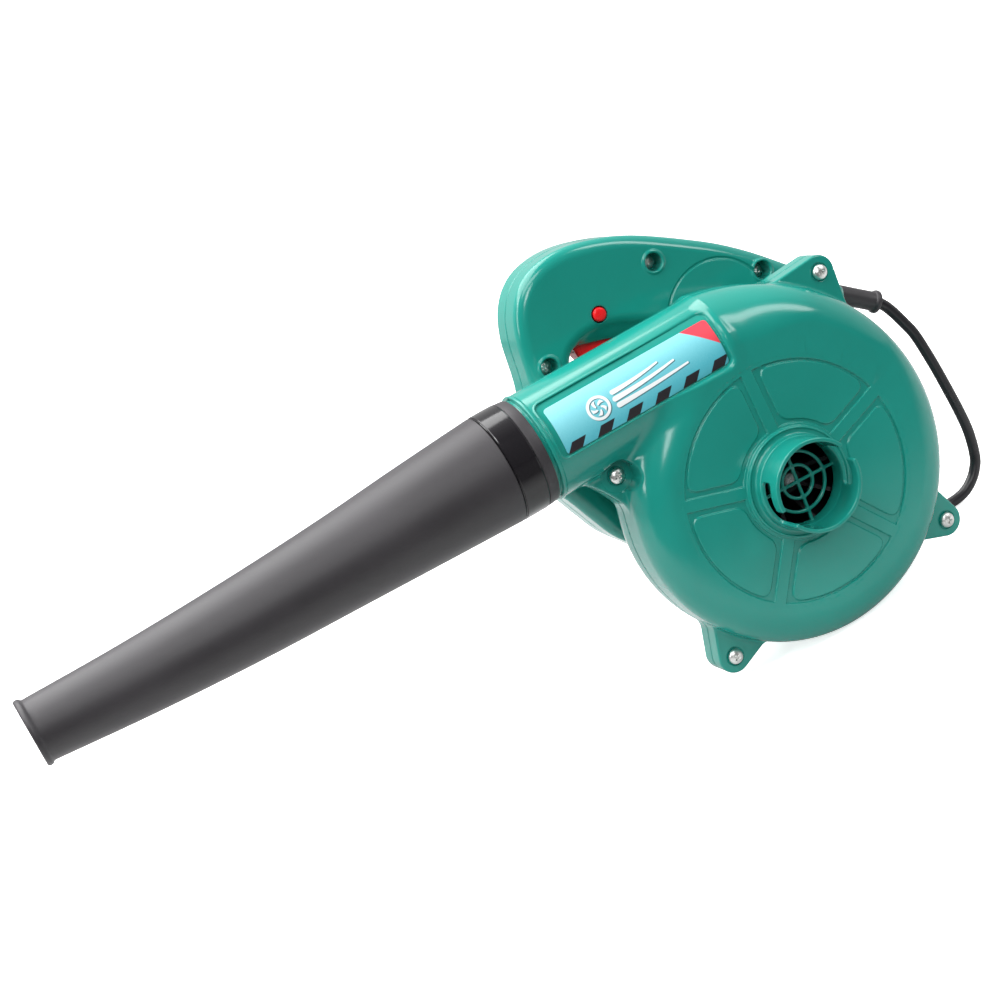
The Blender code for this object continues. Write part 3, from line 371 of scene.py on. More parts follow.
def smooth_loop(points, per_span):
    """A closed Catmull-Rom curve through the points."""
    p = np.array(points, float)
    return spans(np.roll(p, 1, 0), p, np.roll(p, -1, 0), np.roll(p, -2, 0), per_span)


def smooth_path(points, per_span):
    """An open Catmull-Rom curve through 3-D points."""
    p = np.array(points, float)
    p = np.vstack((2 * p[0] - p[1], p, 2 * p[-1] - p[-2]))
    return np.vstack((spans(p[:-3], p[1:-2], p[2:-1], p[3:], per_span), p[-2]))


class Outline:
    """Signed distance to a closed curve in X and Z, held on a lattice and read with a cubic spline."""

    def __init__(self, points, per_span=24, step=0.6, margin=14.0):
        loop = smooth_loop(points, per_span)
        self.step = step
        self.low = loop.min(0) - margin
        self.count = np.ceil((loop.max(0) + margin - self.low) / step).astype(int) + 1
        axes = [self.low[k] + step * np.arange(self.count[k]) for k in (0, 1)]
        place = np.stack(np.meshgrid(*axes, indexing="ij"), -1).reshape(-1, 2)
        self.grid = self.distance(loop, place).astype(np.float32)

    @staticmethod
    def distance(loop, place):
        """Distance to the curve: negative inside it."""
        skip = 8
        ends = np.roll(loop, -1, 0)
        area = (loop[:, 0] * ends[:, 1] - ends[:, 0] * loop[:, 1]).sum()
        coarse = loop[::skip].astype(np.float32)
        out = np.empty(len(place))
        reach = np.arange(-skip - 4, skip + 5)
        for first in range(0, len(place), 20000):
            p = place[first:first + 20000]
            gap = ((p[:, None].astype(np.float32) - coarse[None]) ** 2).sum(2)
            index = (gap.argmin(1)[:, None] * skip + reach[None]) % len(loop)
            a, b = loop[index], ends[index]
            along, to = b - a, p[:, None] - a
            share = np.clip((along * to).sum(2) / (along ** 2).sum(2), 0.0, 1.0)
            away = to - along * share[..., None]
            square = (away ** 2).sum(2)
            best = square.argmin(1)
            row = np.arange(len(p))
            side = along[row, best, 0] * to[row, best, 1] - along[row, best, 1] * to[row, best, 0]
            sign = np.where(side * area > 0, -1.0, 1.0)
            out[first:first + 20000] = np.sqrt(square[row, best]) * sign
        return out

    def __call__(self, x, z):
        u = (x - self.low[0]) / self.step
        w = (z - self.low[1]) / self.step
        cu = np.clip(u, 1.0, self.count[0] - 3.001)
        cw = np.clip(w, 1.0, self.count[1] - 3.001)
        outside = np.hypot(u - cu, w - cw) * self.step
        i, j = cu.astype(int), cw.astype(int)
        total = 0.0
        weights = [self.weights(cu - i), self.weights(cw - j)]
        for di in range(4):
            row = (i + di - 1) * self.count[1] + j - 1
            for dj in range(4):
                total = total + weights[0][di] * weights[1][dj] * self.grid[row + dj]
        return total + outside

    @staticmethod
    def weights(f):
        g = 1.0 - f
        inner = [(4 - 6 * q * q + 3 * q ** 3) / 6 for q in (f, g)]
        return g * g * g / 6, inner[0], inner[1], f * f * f / 6


# ---------------------------------------------------------------- surfaces from fields
CORNERS = np.array([(i, j, k) for i in (0, 1) for j in (0, 1) for k in (0, 1)])
EDGES = [(a, b) for a in range(8) for b in range(a + 1, 8) if np.abs(CORNERS[a] - CORNERS[b]).sum() == 1]
TETRA = np.array(((1, -1, -1), (-1, -1, 1), (-1, 1, -1), (1, 1, 1)), float)


def evaluate(field, p, chunk=150000):
    return np.concatenate([field(p[i:i + chunk]) for i in range(0, len(p), chunk)])


def gradient(field, p, e=0.06):
    total = np.zeros_like(p)
    for k in TETRA:
        total += k * evaluate(field, p + k * e)[:, None]
    return total / (4 * e)


def settle(field, p, limit, rounds=2):
    """Moves points onto the field's surface."""
    for _ in range(rounds):
        g = gradient(field, p)
        move = g * (evaluate(field, p) / np.maximum((g ** 2).sum(1), 0.05))[:, None]
        size = np.sqrt((move ** 2).sum(1))[:, None]
        p = p - move * np.minimum(1.0, limit / np.maximum(size, 1e-9))
    return p


def lattice(field, low, high, step, steep):
    """The small blocks of a lattice that the surface may cross, as integer corners, four cells a side.

    steep is how fast the field may rise: 1 for a true distance."""
    low = np.array(low, float)
    top = 16 * step
    count = np.ceil((np.array(high) - low) / top).astype(int)
    blocks = np.stack(np.meshgrid(*[np.arange(n) for n in count], indexing="ij"), -1).reshape(-1, 3)
    blocks = blocks[np.abs(evaluate(field, low + (blocks + 0.5) * top)) < top * steep]
    inner = np.stack(np.meshgrid(*[np.arange(4)] * 3, indexing="ij"), -1).reshape(-1, 3)
    small = (blocks[:, None] * 4 + inner[None]).reshape(-1, 3)
    near = np.abs(evaluate(field, low + (small + 0.5) * 4 * step)) < 4 * step * steep
    return small[near] * 4, count * 16


def net(field, low, high, step, steep=1.0):
    """The field's surface: one vertex in each lattice cell that it crosses, joined by quads."""
    blocks, count = lattice(field, low, high, step, steep)
    low = np.array(low, float)
    points = np.stack(np.meshgrid(*[np.arange(5)] * 3, indexing="ij"), -1).reshape(-1, 3)
    cells = np.stack(np.meshgrid(*[np.arange(4)] * 3, indexing="ij"), -1).reshape(-1, 3)
    corner = ((cells[:, None] + CORNERS[None]) * (25, 5, 1)).sum(2)
    keys, places, signs = [], [], []
    for first in range(0, len(blocks), 1500):
        part = blocks[first:first + 1500]
        values = field((low + (part[:, None] + points[None]) * step).reshape(-1, 3)).reshape(len(part), -1)
        c = values[:, corner]
        neg = c < 0
        some = neg.any(2) & ~neg.all(2)
        which, cell = np.nonzero(some)
        c, neg = c[which, cell], neg[which, cell]
        total = np.zeros((len(c), 3))
        hits = np.zeros(len(c))
        for a, b in EDGES:
            cross = neg[:, a] != neg[:, b]
            share = np.where(cross, c[:, a] / np.where(cross, c[:, a] - c[:, b], 1.0), 0.0)
            total += cross[:, None] * (CORNERS[a] + share[:, None] * (CORNERS[b] - CORNERS[a]))
            hits += cross
        index = part[which] + cells[cell]
        keys.append(index)
        places.append(low + (index + total / hits[:, None]) * step)
        signs.append(neg[:, (0, 4, 2, 1)])
    index, place, sign = np.vstack(keys), np.vstack(places), np.vstack(signs)
    stride = np.array((count[1] * count[2], count[2], 1), np.int64)
    key = (index * stride).sum(1)
    order = np.argsort(key)
    key, index, place, sign = key[order], index[order], place[order], sign[order]
    quads = []
    for axis in range(3):
        b, c = (axis + 1) % 3, (axis + 2) % 3
        cross = np.nonzero(sign[:, 0] != sign[:, axis + 1])[0]
        ring = np.stack((key[cross], key[cross] - stride[b], key[cross] - stride[b] - stride[c],
                         key[cross] - stride[c]), 1)
        found = np.searchsorted(key, ring)
        found = np.minimum(found, len(key) - 1)
        whole = (key[found] == ring).all(1)
        found, inside = found[whole], sign[cross[whole], 0]
        quads.append(np.where(inside[:, None], found, found[:, ::-1]))
    return place, np.vstack(quads)


def mesh_from(name, verts, faces):
    """A mesh from points in millimetres about the fan."""
    mesh = bpy.data.meshes.new(name)
    mesh.from_pydata(((np.asarray(verts) + FAN) * 0.001).tolist(), [], [tuple(f) for f in faces])
    mesh.validate()
    return mesh


def fast_mesh(name, verts, faces):
    """The same for large quad or triangle lists."""
    mesh = bpy.data.meshes.new(name)
    mesh.vertices.add(len(verts))
    mesh.vertices.foreach_set("co", ((verts + FAN) * 0.001).astype(np.float32).ravel())
    side = faces.shape[1]
    mesh.loops.add(faces.size)
    mesh.loops.foreach_set("vertex_index", faces.astype(np.int32).ravel())
    mesh.polygons.add(len(faces))
    mesh.polygons.foreach_set("loop_start", (np.arange(len(faces)) * side).astype(np.int32))
    mesh.update(calc_edges=True)
    return mesh


def new_object(name, mesh):
    obj = bpy.data.objects.new(name, mesh)
    bpy.context.scene.collection.objects.link(obj)
    return obj


def read_mesh(mesh):
    """Its points, in millimetres about the fan."""
    co = np.empty(len(mesh.vertices) * 3, np.float32)
    mesh.vertices.foreach_get("co", co)
    return co.reshape(-1, 3).astype(float) * 1000 - FAN


def moulded(name, field, low, high, step, faces, steep=1.0):
    """A smooth solid from a field, thinned to about a number of faces, with the field's own normals."""
    verts, quads = net(field, low, high, step, steep)
    verts = settle(field, verts, step * 0.7)
    obj = new_object(name, fast_mesh(name, verts, quads))
    if 2 * len(quads) > faces:
        thin = obj.modifiers.new("thin", "DECIMATE")
        thin.ratio = faces / (2 * len(quads))
        depsgraph = bpy.context.evaluated_depsgraph_get()
        mesh = bpy.data.meshes.new_from_object(obj.evaluated_get(depsgraph))
        obj.modifiers.clear()
        obj.data = mesh
        verts = settle(field, read_mesh(mesh), step * 0.4, 1)
        mesh.vertices.foreach_set("co", ((verts + FAN) * 0.001).astype(np.float32).ravel())
        mesh.update()
    normals = gradient(field, verts)
    normals /= np.maximum(np.sqrt((normals ** 2).sum(1)), 1e-6)[:, None]
    obj.data.shade_smooth()
    obj.data.normals_split_custom_set_from_vertices(normals.tolist())
    return obj


# ---------------------------------------------------------------- the volute
def scroll(degrees):
    """Outer radius of the volute at an angle."""
    turn = (degrees + 140.0) % 360.0
    t = np.minimum(turn / 230.0, 1.0)
    back = np.maximum((360.0 - turn) / 130.0 * 1.6 - 0.6, 0.0)
    return np.where(turn <= 230.0, 83.0 + 13.0 * t + 8.2 * (t * t * t) ** 2, 83.0 + 21.2 * back ** 1.5)


def front_corner(degrees):
    """Radius round the edge of the front face: larger on top, where the drum runs into the tube."""
    share = np.minimum((degrees - SHOULDER_START) / 29.0, (SHOULDER_END - degrees) / 35.0)
    share = np.clip(share, 0.0, 1.0)
    return FRONT_CORNER + SHOULDER_GROWTH * share * share * (3 - 2 * share)


def lug_shapes():
    """For each lug: its centre, the outward normals of its sides, the way inward and how far it runs."""
    shapes = []
    for centre, first, second in LUGS:
        c, f, s = (np.array(q) for q in (centre, first, second))
        middle = (f + s) / 2
        sides = []
        for end, other in ((f, s), (s, f)):
            to = end - c
            far = np.hypot(*to)
            lean = math.asin(min(1.0, LUG_RADIUS / far))
            across = np.array((-to[1], to[0])) / far
            if across @ (other - c) > 0:
                across = -across
            sides.append(across * math.cos(lean) + to / far * math.sin(lean))
        inward = (middle - c) / np.hypot(*(middle - c))
        shapes.append((c, sides[0], sides[1], inward, max((f - c) @ inward, (s - c) @ inward) + 5.0))
    return shapes


LUG_SHAPES = lug_shapes()


def web_circle():
    """The circle that hollows the left lug's free edge, through three points on that edge."""
    (x1, z1), (x2, z2), (x3, z3) = (-96.2, 50.0), (-85.8, 37.6), (-78.6, 25.0)
    rows = np.array(((x2 - x1, z2 - z1), (x3 - x1, z3 - z1))) * 2
    sides = np.array((x2 ** 2 - x1 ** 2 + z2 ** 2 - z1 ** 2, x3 ** 2 - x1 ** 2 + z3 ** 2 - z1 ** 2))
    cx, cz = np.linalg.solve(rows, sides)
    return cx, cz, math.hypot(x1 - cx, z1 - cz)


WEB_X, WEB_Z, WEB_RADIUS = web_circle()


def lug_flat(shape, x, z):
    """Distance to a lug's outline: round at the tip and straight at the sides; the left one is a web."""
    centre, first, second, inward, run = shape
    if centre[0] < LEFT_LUG_FROM:
        web = WEB_RADIUS - np.hypot(x - WEB_X, z - WEB_Z)
        return np.maximum(np.maximum(web, x + 60.0), np.abs(z - 45.0) - 25.0)
    px, pz = x - centre[0], z - centre[1]
    along = px * inward[0] + pz * inward[1]
    one = px * first[0] + pz * first[1]
    two = px * second[0] + pz * second[1]
    reach = np.hypot(px, pz)
    # the tip's round part lies between the two side normals, turned away from the volute
    cos_half = -(first @ inward), -(second @ inward)
    tip = (-along >= reach * min(cos_half)) & (along < LUG_RADIUS)
    side = np.maximum(one, two)
    flat = np.where(tip, reach, side) - LUG_RADIUS
    return np.maximum(flat, along - run)


def volute_outside(x, y, z):
    """The drum, discharge tube and spigot, and the four screw lugs."""
    r = np.hypot(x, z)
    angle = np.degrees(np.arctan2(z, x))
    edge = scroll(angle)
    deep = np.abs(y)
    corner = np.where(y < 0, front_corner(angle), REAR_CORNER)
    drum = rounded(r - edge, deep - HALF_DEPTH, corner)
    rho = np.hypot(y, z - TUBE_HEIGHT)
    tube = rounded(rho - TUBE_RADIUS, np.maximum(TUBE_END - x, x + 1.0), 0.5)
    bead = rounded(np.abs(rho - TUBE_RADIUS) - 0.55, np.abs(x - TUBE_END - 0.9) - 0.9, 0.5)
    tube = soft_min(tube, bead, 0.4)
    spigot = rounded(rho - SPIGOT_RADIUS, np.maximum(SPIGOT_END - x, x + 100.0), 0.6)
    fillet = 1.0 + 5.0 * np.clip((96.0 - z) / 12.0, 0.0, 1.0)
    body = soft_min(drum, tube, fillet)
    body = np.minimum(body, spigot)
    for shape in LUG_SHAPES:
        px, pz = x - shape[0][0], z - shape[0][1]
        near = (px * px + pz * pz < 3000.0) & (deep < 26.0)
        if near.any():
            flat = lug_flat(shape, x[near], z[near])
            side = deep[near]
            lug = rounded(flat, side - LUG_HALF, 1.1)
            joined = soft_min(body[near], lug, 3.0)
            screw = np.hypot(px[near], pz[near])
            well = np.maximum(screw - 4.75, 8.4 - side)
            joined = soft_max(joined, -well, 0.25)
            if shape[0][0] < LEFT_LUG_FROM:
                joined = soft_max(joined, -np.maximum(screw - 8.3, y[near] + LUG_HALF), 0.9)
            body[near] = soft_max(joined, 2.3 - screw, 0.2)
    return body, r, rho, edge, corner


def volute_inside(x, y, z, r, rho, edge, corner):
    """The hollow, less a lining behind the left lug's screw pocket."""
    drum = rounded(r - edge + WALL, np.abs(y) - HALF_DEPTH + WALL, corner - WALL)
    bore = np.maximum(rho - 24.0, x + 1.0)
    lining = np.maximum(np.hypot(x - LUGS[3][0][0], z - LUGS[3][0][1]) - 10.0, y + 6.5)
    return np.maximum(soft_min(drum, bore, 2.0), -lining)


def turn_between(angle, start, end, r):
    """Distance in millimetres past a sector's two sides, along the arc."""
    middle, half = (start + end) / 2, (end - start) / 2
    away = np.abs((angle - middle + 180.0) % 360.0 - 180.0) - half
    return np.radians(away) * r


def collar(d, x, y, z, r):
    """The raised flange, the bayonet collar and the guard across the intake."""
    angle = np.degrees(np.arctan2(z, x))
    flange = rounded(r - FLANGE_RADIUS, np.maximum(-31.8 - y, y + 27.5), 0.45)
    edge_bead = np.hypot(r - FLANGE_RADIUS + 0.65, y + 31.85) - 0.62
    d = soft_min(d, soft_min(flange, edge_bead, 0.25), 0.8)
    ring = rounded(np.abs(r - COLLAR_MIDDLE) - COLLAR_HALF_WALL, np.maximum(COLLAR_RIM - y, y + 27.5), 0.8)
    step = rounded(r - COLLAR_OUTER - 0.35, np.maximum(-36.4 - y, y + 27.5), 0.3)
    ring = soft_min(ring, step, 0.4)
    for middle in NOTCH_ANGLES:
        start, end = middle - NOTCH_HALF, middle + NOTCH_HALF
        notch = rounded(turn_between(angle, start, end, COLLAR_MIDDLE), y - COLLAR_RIM - NOTCH_DEPTH, 1.4)
        depth = np.abs(y - COLLAR_RIM - SLOT_MIDDLE) - SLOT_HALF
        slot = rounded(turn_between(angle, start - SLOT_TURN, end, COLLAR_MIDDLE), depth, 2.4)
        cut = np.where(r > 17.0, soft_min(notch, slot, 1.2), 17.0 - r)
        ring = soft_max(ring, -cut, 0.7)
    d = soft_min(d, ring, 1.6)
    d = soft_max(d, -np.maximum(r - COLLAR_BORE, np.maximum(y + 20.0, -60.0 - y)), 0.8)
    level = np.abs(y - GUARD_LEVEL) - 1.0
    guard = np.inf
    for radius in GUARD_RINGS:
        guard = np.minimum(guard, rounded(np.abs(r - radius) - GUARD_HALF, level, 0.6))
    for degrees in (-3.0, 87.0):
        a = math.radians(degrees)
        across = np.abs(x * math.sin(a) - z * math.cos(a)) - GUARD_HALF
        guard = soft_min(guard, np.maximum(rounded(across, level, 0.6), r - 23.0), 0.8)
    return soft_min(d, guard, 0.6)


PANEL_START, PANEL_PITCH, MOAT_DEPTH = 91.0, 72.0, 0.95
MOAT_OUTER, MOAT_INNER = (62.1, 29.6, 3.1), (60.3, 32.0, 6.5)   # far, close, and from the rib's middle


def panel_depth(x, z, r):
    """Depth of the moats round the five panels: sharp outer corners, round inner ones, a flat floor."""
    turn = np.radians((np.degrees(np.arctan2(z, x)) - PANEL_START) % PANEL_PITCH)
    one = r * np.sin(turn)
    two = r * np.sin(math.radians(PANEL_PITCH) - turn)
    (far, close, side), (inner_far, inner_close, inner_side) = MOAT_OUTER, MOAT_INNER
    outer = np.minimum(np.minimum(far - r, r - close), np.minimum(one, two) - side)
    inner = soft_max(soft_max(r - inner_far, inner_side - one, 6.0),
                     soft_max(inner_close - r, inner_side - two, 6.0), 6.0)
    return MOAT_DEPTH * np.clip(outer / 0.4, 0.0, 1.0) * np.clip(inner / 0.5, 0.0, 1.0)


def label_recess(x, y, z, rho):
    """The sunk field round the label, its raised lip and the lining that closes it behind."""
    around = np.arctan2(z - TUBE_HEIGHT, -y) * TUBE_RADIUS
    middle = math.radians(LABEL_TILT) * TUBE_RADIUS
    low, high = middle - LABEL_HALF_HEIGHT - 0.9, middle + LABEL_HALF_HEIGHT + 4.4
    over = rho - TUBE_RADIUS + RECESS_DEPTH
    flat = rounded(np.abs(x - LABEL_MIDDLE + 0.9) - LABEL_HALF_LENGTH - 2.2,
                   np.abs(around - (low + high) / 2) - (high - low) / 2, 4.0)
    lip = np.hypot(flat - 0.35, rho - TUBE_RADIUS + 0.08) - 0.45
    lip = np.maximum(lip, (x + 46.0) * 0.5)
    lining = np.maximum(flat - 3.0, np.maximum(25.0 - rho, y + 4.0))
    return np.maximum(flat, -over), lip, lining


def front_volute(p):
    x, y, z = p.T
    body, r, rho, edge, corner = volute_outside(x, y, z)
    near = (y < -14.0) & (r < 64.0) & (r > 28.0)
    if near.any():
        sunk = panel_depth(x[near], z[near], r[near])
        body[near] = soft_max(body[near], -HALF_DEPTH + sunk - y[near], 0.12)
    hollow = volute_inside(x, y, z, r, rho, edge, corner)
    near = (x > -118.0) & (x < 16.0) & (z > 55.0) & (y < 6.0)
    if near.any():
        recess, lip, lining = label_recess(x[near], y[near], z[near], rho[near])
        blend = 0.35 + 2.0 * np.clip((x[near] + 40.0) / 30.0, 0.0, 1.0)
        body[near] = soft_min(soft_max(body[near], -recess, blend), lip, 0.4)
        hollow[near] = np.maximum(hollow[near], -lining)
    body = soft_max(body, -hollow, 0.5)
    near = (r < 44.0) & (y < -12.0)
    if near.any():
        body[near] = collar(body[near], x[near], y[near], z[near], r[near])
    return soft_max(body, y + 0.15, 0.35)


def rear_volute(p):
    x, y, z = p.T
    body, r, rho, edge, corner = volute_outside(x, y, z)
    body = soft_max(body, -volute_inside(x, y, z, r, rho, edge, corner), 0.5)
    body = soft_max(body, -np.maximum(r - 13.5, 20.0 - y), 0.6)
    for sx, sz in BACK_SCREWS:
        body = np.maximum(body, -np.maximum(np.hypot(x - sx, z - sz) - 2.2, 20.0 - y))
    return soft_max(body, 0.15 - y, 0.35)


# ---------------------------------------------------------------- the handle
HANDLE_FIELD = Outline(HANDLE_OUTLINE)
FINGER_FIELD = Outline(FINGER_OUTLINE)
INNER_FINGER_FIELD = Outline(INNER_FINGER_OUTLINE)


def handle_slab(x, z, face, open_side):
    """One half of the D-handle: face is the distance past its flat face, open_side past the split."""
    inner = np.clip((-face - 2.5) / 7.0, 0.0, 1.0)
    inner = inner * inner * (3 - 2 * inner)
    finger = (1 - inner) * FINGER_FIELD(x, z) + inner * INNER_FINGER_FIELD(x, z)
    flat = soft_max(HANDLE_FIELD(x, z), -finger, 1.0)
    edge = rounded((flat + 7.0) * 0.8 - 5.6, face, 5.6)
    return soft_max(edge, open_side, 0.45), flat


def handle_openings(p, d):
    """The trigger slot and the hole for the strain relief, shared by both halves."""
    x, y, z = p.T
    near = (x < 5.0) & (z > 70.0)
    if near.any():
        slot = box_field(p[near], (-53.5, 40.7, 86.0), (-12.5, 55.3, 108.5), 1.2)
        d[near] = soft_max(d[near], -slot, 0.6)
    near = (x > 40.0) & (z > 10.0) & (z < 90.0)
    if near.any():
        to = p[near] - BOOT_END
        along = to @ BOOT_DIRECTION
        across = np.sqrt(np.maximum((to ** 2).sum(1) - along ** 2, 1e-6))
        d[near] = soft_max(d[near], -np.maximum(across - 5.7, -60.0 - along), 0.5)
    return d


def handle_front(p):
    x, y, z = p.T
    d, flat = handle_slab(x, z, HANDLE_FRONT - y, y - HANDLE_SPLIT + 0.15)
    hollow = soft_max(flat + WALL, HANDLE_FRONT + WALL - y, 3.0)
    d = soft_max(d, -hollow, 0.3)
    for sx, sz in HANDLE_SCREWS:
        reach = np.hypot(x - sx, z - sz)
        near = reach < 22.0
        if near.any():
            r, yy = reach[near], y[near]
            post = np.maximum(r - 5.9, np.maximum(HANDLE_FRONT + 2.0 - yy, yy - HANDLE_SPLIT + 0.15))
            lip = np.hypot(r - 5.5, yy - HANDLE_FRONT) - 0.75
            joined = soft_min(soft_min(d[near], post, 0.8), lip, 1.0)
            joined = soft_max(joined, -np.maximum(r - 4.6, yy - 41.0), 0.7)
            d[near] = np.maximum(joined, 2.2 - r)
    reach = np.hypot(x - BUTTON_PLACE[0], z - BUTTON_PLACE[1])
    d = soft_max(d, -np.maximum(reach - 4.3, y - 38.0), 0.9)
    groove = np.hypot(np.hypot(x - 25.0, z - 80.0) - 30.0, y - HANDLE_FRONT + 0.1) - 0.75
    groove = np.maximum(groove, 0.35 * (x - 25.0) - 0.94 * (z - 80.0) - 8.0)
    d = soft_max(d, -groove, 0.3)
    near = np.hypot(x, z) < 52.0
    if near.any():
        r = np.hypot(x[near], z[near])
        seat = np.maximum(np.abs(r - 12.9) - 1.6, np.maximum(HANDLE_FRONT + 1.0 - y[near], y[near] - 42.0))
        joined = np.minimum(d[near], seat)
        joined = np.maximum(joined, 8.0 - r)
        for sx, sz in BACK_SCREWS:
            q = np.hypot(x[near] - sx, z[near] - sz)
            post = np.maximum(q - 5.5, np.maximum(HANDLE_FRONT + 2.0 - y[near], y[near] - 43.0))
            joined = np.maximum(soft_min(joined, post, 0.6), 2.2 - q)
        d[near] = joined
    return handle_openings(p, d)


def foot(x, y, z, outline):
    """A tapered foot with rounded edges, from four corners running anticlockwise."""
    flat = -np.inf
    for (x0, z0), (x1, z1) in zip(outline, outline[1:] + outline[:1]):
        size = math.hypot(x1 - x0, z1 - z0)
        flat = np.maximum(flat, ((z1 - z0) * (x - x0) - (x1 - x0) * (z - z0)) / size)
    return rounded(flat, np.abs(y - 94.0) - 10.0, 1.6)


def handle_rear(p):
    x, y, z = p.T
    d, flat = handle_slab(x, z, y - HANDLE_BACK, HANDLE_SPLIT + 0.15 - y)
    r = np.hypot(x, z)
    barrel = rounded(r - BARREL_RADIUS, np.maximum(y - BARREL_END, 58.0 - y), 8.0)
    band = rounded(np.abs(r - BARREL_RADIUS) - 0.7, np.abs(y - 84.0) - 1.2, 0.5)
    barrel = soft_min(barrel, band, 0.6)
    floor = -FAN[2]
    left = foot(x, y, z, [(-26.0, floor), (-14.0, floor), (-14.0, -30.0), (-34.0, -30.0)])
    right = foot(x, y, z, [(33.0, floor), (50.0, floor), (36.0, -30.0), (20.0, -30.0)])
    barrel = soft_min(barrel, np.minimum(left, right), 3.0)
    d = soft_min(d, barrel, 3.5)
    hollow = soft_max(flat + WALL, y - HANDLE_BACK + WALL, 3.0)
    motor = rounded(r - 44.0, np.maximum(y - BARREL_END + 3.0, 40.0 - y), 6.0)
    d = soft_max(d, -soft_min(hollow, motor, 1.0), 0.4)
    for sx, sz in HANDLE_SCREWS:
        reach = np.hypot(x - sx, z - sz)
        post = np.maximum(reach - 5.9, np.maximum(HANDLE_SPLIT + 0.15 - y, y - HANDLE_BACK + 2.0))
        d = np.maximum(soft_min(d, post, 0.8), -np.maximum(reach - 2.2, y - 61.0))
    seat = np.maximum(np.abs(r - 11.15) - 1.35, np.maximum(108.7 - y, y - BARREL_END + 2.0))
    d = soft_min(d, seat, 0.6)
    near = (y > 104.0) & (r < 42.0)
    if near.any():
        turn = np.radians(np.degrees(np.arctan2(z[near], x[near])) % VENT_PITCH - VENT_PITCH / 2)
        along, across = r[near] * np.cos(turn), np.abs(r[near] * np.sin(turn))
        past = along - np.clip(along, *VENT_REACH)
        slot = np.hypot(past, across) - VENT_HALF_WIDTH
        d[near] = soft_max(d[near], -np.maximum(slot, 110.0 - y[near]), 0.5)
    return handle_openings(p, d)


TRIGGER_FIELD = Outline(TRIGGER_OUTLINE, per_span=16, step=0.3, margin=12.0)


def trigger(p):
    x, y, z = p.T
    flat = TRIGGER_FIELD(x, z)
    lever = rounded(flat, np.abs(y - HANDLE_SPLIT) - 6.5, 1.5)
    grip = np.abs((x + 0.35 * z) % 5.0 - 2.5) - 0.5
    finger = np.maximum(np.maximum(grip, flat), np.abs(y - HANDLE_SPLIT) - 4.5)
    lever = soft_max(lever, -np.maximum(finger, -flat - 0.45), 0.3)
    px, pz = x - TRIGGER_PIVOT[0], z - TRIGGER_PIVOT[1]
    share = np.clip(-px / 11.0, 0.0, 1.0)
    arm = rounded(np.hypot(px + 11.0 * share, pz) - 3.4, np.abs(y - HANDLE_SPLIT) - 3.0, 0.6)
    lever = soft_min(lever, arm, 0.8)
    return np.maximum(lever, 1.9 - np.hypot(px, pz))


# ---------------------------------------------------------------- turned and swept pieces
def frame_along(start, direction):
    turn = Vector(direction).to_track_quat("Z", "Y").to_matrix().to_4x4()
    return Matrix.Translation(Vector(start)) @ turn


def rounded_profile(points, radius, steps=4):
    """A closed profile with each of its corners rounded."""
    p = np.array(points, float)
    out = []
    for index in range(len(p)):
        before, here, after = p[index - 1], p[index], p[(index + 1) % len(p)]
        a, b = before - here, after - here
        la, lb = np.hypot(*a), np.hypot(*b)
        size = min(radius, la * 0.45, lb * 0.45)
        start, end = here + a / la * size, here + b / lb * size
        for step in range(steps + 1):
            t = step / steps
            out.append((1 - t) ** 2 * start + 2 * t * (1 - t) * here + t * t * end)
    return out


def turned_faces(sides, count, closed):
    """The quads between neighbouring copies of a profile of count points."""
    faces = []
    for side in range(sides):
        here, there = side * count, (side + 1) % sides * count
        for k in range(count if closed else count - 1):
            n = (k + 1) % count
            faces.append((here + k, there + k, there + n, here + n))
    return faces


def turned(name, profile, start, direction, sides=96, closed=True):
    """A turned solid from (radius, height) points along an axis; an open profile ends on the axis."""
    place = frame_along(start, direction)
    verts = []
    for side in range(sides):
        a = 2 * math.pi * side / sides
        for radius, height in profile:
            verts.append(place @ Vector((radius * math.cos(a), radius * math.sin(a), height)))
    mesh = mesh_from(name, [tuple(v) for v in verts], turned_faces(sides, len(profile), closed))
    obj = new_object(name, mesh)
    tidy_mesh(mesh)
    return obj


def tidy_mesh(mesh, angle=32.0):
    """Merges points on the axis, turns the faces outward and smooths all but the sharp edges."""
    bm = bmesh.new()
    bm.from_mesh(mesh)
    bmesh.ops.remove_doubles(bm, verts=bm.verts, dist=1e-6)
    bmesh.ops.recalc_face_normals(bm, faces=bm.faces)
    bm.to_mesh(mesh)
    bm.free()
    mesh.shade_smooth()
    mesh.set_sharp_from_angle(angle=math.radians(angle))


def hermite(xs, ys, q):
    """A smooth curve through stations, read at q."""
    slope = np.gradient(ys, xs)
    i = np.clip(np.searchsorted(xs, q) - 1, 0, len(xs) - 2)
    h = xs[i + 1] - xs[i]
    t = (q - xs[i]) / h
    return ((2 * t ** 3 - 3 * t ** 2 + 1) * ys[i] + (t ** 3 - 2 * t ** 2 + t) * h * slope[i]
            + (3 * t ** 2 - 2 * t ** 3) * ys[i + 1] + (t ** 3 - t ** 2) * h * slope[i + 1])


